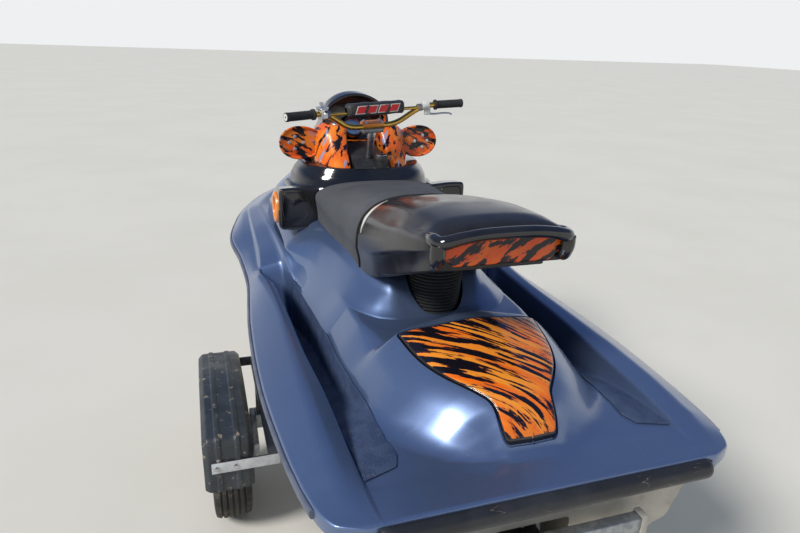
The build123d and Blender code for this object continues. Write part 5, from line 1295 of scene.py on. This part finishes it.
wall = np.array([(-50, 127), (-56, 131), (-62, 140), (-65.5, 152), (-67.5, 168), (-68, 185), (-67.5, 202),
                 (-66, 217), (-64, 227)])
tread_x = np.linspace(-TREAD, TREAD, 75)
tread_r = WHEEL_R - 9 * (np.abs(tread_x) / TREAD)**4
profile_x, profile_r = np.vstack([wall, np.column_stack([tread_x, tread_r]), wall[::-1] * [-1, 1]]).T
AROUND = 144
turn = np.linspace(0, 2 * np.pi, AROUND, endpoint=False)
cut = sum(groove(profile_x, c, 2.6) for c in (-40, -20, 0, 20, 40)) * 6.5 * (profile_r > 232)
lug = (np.sin(turn * 36)[:, None] > 0.55) * (np.abs(profile_x) > 47) * (profile_r > 228) * 4.0
tyre_r = profile_r - cut - lug
RIM = [(-56, 127), (-58, 133), (-54, 133), (-50, 126), (-40, 117), (6, 114), (12, 98), (24, 88), (22, 62),
       (14, 54), (14, 38), (46, 36), (50, 32), (50, 0), (44, 0), (6, 30), (5, 54), (12, 64), (14, 88), (4, 100),
       (0, 110), (-40, 110), (-52, 118), (-56, 126.9)]
FLANGE = [(10, 112), (40, 117), (50, 126), (54, 133), (58, 133), (56, 127), (52, 118), (42, 110), (10, 108),
          (10, 111.9)]
for side, name in SIDES:
    centre = np.array([side * 652, 1160, WHEEL_R], float)
    out = (side, 0, 0)
    ring = np.stack([np.broadcast_to(profile_x, tyre_r.shape), tyre_r * np.cos(turn)[:, None],
                     tyre_r * np.sin(turn)[:, None]], -1)
    inner = np.column_stack([np.full(AROUND, 50.0), BEAD_R * np.cos(turn), BEAD_R * np.sin(turn)])
    ring = np.concatenate([ring, inner[:, None]], 1)
    p = on_trailer(np.swapaxes(ring, 0, 1) + centre)
    tyre = grid("tyre_skin_" + name, np.concatenate([p, p[:1]], 0), caps=(False, False), sharp=45)
    dress(tyre, tyre_black, "tyre_" + name)
    rim = lathe("rim_skin_" + name, RIM, centre, out, 96, on_trailer)
    flange = lathe("rim_flange", FLANGE, centre, out, 96, on_trailer)
    holes = [lathe("hole", drum(-20, 60, 10), centre + [0, 76 * np.cos(a), 76 * np.sin(a)], out, 20, on_trailer)
             for a in np.arange(8) * np.pi / 4]
    carve(rim, *holes)
    rim = joined("rim_skin_" + name, rim, flange)
    dress(rim, rim_silver, "rim_" + name)
    nuts = [bolt(f"nut_{i}", centre + [side * 22, 50 * np.cos(a), 50 * np.sin(a)], out, 9, 12, on_trailer)
            for i, a in enumerate(np.arange(4) * np.pi / 2 + 0.4)]
    dress(joined("wheel_nuts_" + name, *nuts), stainless, "rim_" + name, False)

guard_path = line_through([(802, 352), (802, 546), (1190, 562), (1448, 516), (1500, 400)],
                          [1, 26, 90, 40, 1], 10, gap=1)
tangent = np.gradient(guard_path, axis=0)
tangent /= np.linalg.norm(tangent, axis=1, keepdims=True)
out = np.stack([-tangent[:, 1], tangent[:, 0]], -1)
GUARD_WIDE = 150.0
ribs = []
for middle in (0.3 * GUARD_WIDE, 0.7 * GUARD_WIDE):
    ribs += [(middle - 9, 0), (middle - 5, 4), (middle + 5, 4), (middle + 9, 0)]
guard_section = rounded([(0, -20), (0, -14), (14, 0), *ribs, (GUARD_WIDE - 14, 0), (GUARD_WIDE, -14),
                         (GUARD_WIDE, -20)], 3.5, 4, closed=False)
for side, name in SIDES:
    x = np.broadcast_to(side * (586 + guard_section[:, 0]), (len(guard_path), len(guard_section)))
    yz = guard_path[:, None] + out[:, None] * guard_section[None, :, 1:]
    p = np.stack([x, yz[..., 0], yz[..., 1]], -1)
    guard = sheet_of("mudguard_skin_" + name, on_trailer(p if side < 0 else p[:, ::-1]), 0.0035)
    dress(guard, guard_black, "mudguards")

brackets = rebuilt("guard_brackets", 1.2)
dress(brackets, dark_steel, "guard_brackets")
for side, name in SIDES:
    strap = block("guard_bar", (214, 3.2, 38), (side * 608, 791.4, 448), place=on_trailer, edge=1.2)
    fold = block("guard_fold", (4, 24, 38), (side * 503, 802, 448), place=on_trailer, edge=1.2)
    dress(joined("guard_bar_" + name, strap, fold), flat_silver, "guard_brackets", False)
    heads = [bolt(f"guard_bolt_{i}", (side * x, 789.6, 448), (0, -1, 0), 6.5, 5, on_trailer)
             for i, x in enumerate((640, 700))]
    dress(joined("guard_bolts_" + name, *heads), stainless, "guard_brackets", False)

# ---- trailer steelwork, pump and the rest of the CAD forms ----

for node, finish, width in (
        ("spine", zinc, 3), ("cross_beams", zinc, 3), ("side_rails", zinc, 3), ("braces", zinc, 3),
        ("bunks", carpet, 6), ("bunk_posts", zinc, 2), ("axle_arms", zinc, 3), ("rear_bar", zinc, 3),
        ("winch_post", zinc, 3), ("bow_stop", soft_black, 6), ("winch", zinc, 1.2), ("coupling", zinc, 3),
        ("jockey_clamp", zinc, 1.5), ("jockey_stem", zinc, 1.2), ("jockey_fork", zinc, 1.5),
        ("ride_plate", cast, 2), ("intake_grate", cast, 1), ("bow_eye", stainless, 1.5),
        ("stern_strap", webbing, 0.8), ("winch_strap", webbing, 0.6)):
    dress(rebuilt(node, width), finish, node)
for node, finish in (("pump_housing", cast), ("impeller", stainless), ("steering_nozzle", moulded),
                     ("jockey_wheel", soft_black), ("engine", cast)):
    nodes[node].data.materials.clear()
    nodes[node].data.materials.append(finish)

# ---- camera, light and floor ----

yaw, pitch, tilt = np.radians([18.87, 20.53, 2.24])
level_f = np.array([np.sin(yaw), np.cos(yaw), 0])
level_r = np.array([np.cos(yaw), -np.sin(yaw), 0])
look = level_f * np.cos(pitch) - np.array([0, 0, np.sin(pitch)])
over = level_f * np.sin(pitch) + np.array([0, 0, np.cos(pitch)])
right = level_r * np.cos(tilt) + over * np.sin(tilt)
over = over * np.cos(tilt) - level_r * np.sin(tilt)
camera = bpy.data.cameras.new("camera")
camera.lens, camera.sensor_width = 27.57, 36.0
camera.clip_start, camera.clip_end = 0.05, 200
view = bpy.data.objects.new("camera", camera)
bpy.context.scene.collection.objects.link(view)
view.matrix_world = Matrix([[*row, place] for row, place in zip(np.column_stack([right, over, -look]),
                                                              (-0.6871, -2.6559, 1.7463))] + [[0, 0, 0, 1]])
bpy.context.scene.camera = view

floor = grid("floor", np.array([[(-60, -60, 0), (60, -60, 0)], [(-60, 60, 0), (60, 60, 0)]], float), wrap=False,
             caps=(False, False), outward=False)
floor.data.materials.append(surface("pale_floor", (0.70, 0.68, 0.63), (0.73, 0.71, 0.67), cloud=(0.7, 0.3, 0.7),
                                    rough=(0.85, 0.95)))

world = bpy.data.worlds.new("studio")
bpy.context.scene.world = world
world.use_nodes = True
w = Weave(world.node_tree)
world.node_tree.nodes.clear()
seen = w.node("LightPath")
pale = w.math("MAXIMUM", w.math("MAXIMUM", seen.outputs["Is Camera Ray"], seen.outputs["Is Glossy Ray"]),
              seen.outputs["Is Transmission Ray"])
aim = w.node("SeparateXYZ", Vector=w.node("TexCoord").outputs["Generated"]).outputs["Z"]
sky = w.mix(w.steps(aim, 0.07, 0.42), (0.86, 0.87, 0.88), (0.10, 0.17, 0.35))
lit = w.node("Background", Color=(0.76, 0.87, 1.0), Strength=0.38)
shown = w.node("Background", Color=sky, Strength=1.0)
blend = w.node("MixShader")
w.put(blend.inputs[0], pale)
world.node_tree.links.new(lit.outputs[0], blend.inputs[1])
world.node_tree.links.new(shown.outputs[0], blend.inputs[2])
world.node_tree.links.new(blend.outputs[0], w.node("OutputWorld").inputs["Surface"])

key = bpy.data.lights.new("key", "SUN")
key.energy, key.angle, key.color = 3.1, np.radians(17), (1.0, 0.965, 0.91)
key_lamp = bpy.data.objects.new("key", key)
bpy.context.scene.collection.objects.link(key_lamp)
key_lamp.rotation_mode = "QUATERNION"
key_lamp.rotation_quaternion = Vector((1.8, 0.75, -1.7)).to_track_quat("-Z", "Y")
bpy.context.scene.view_settings.view_transform = "Standard"
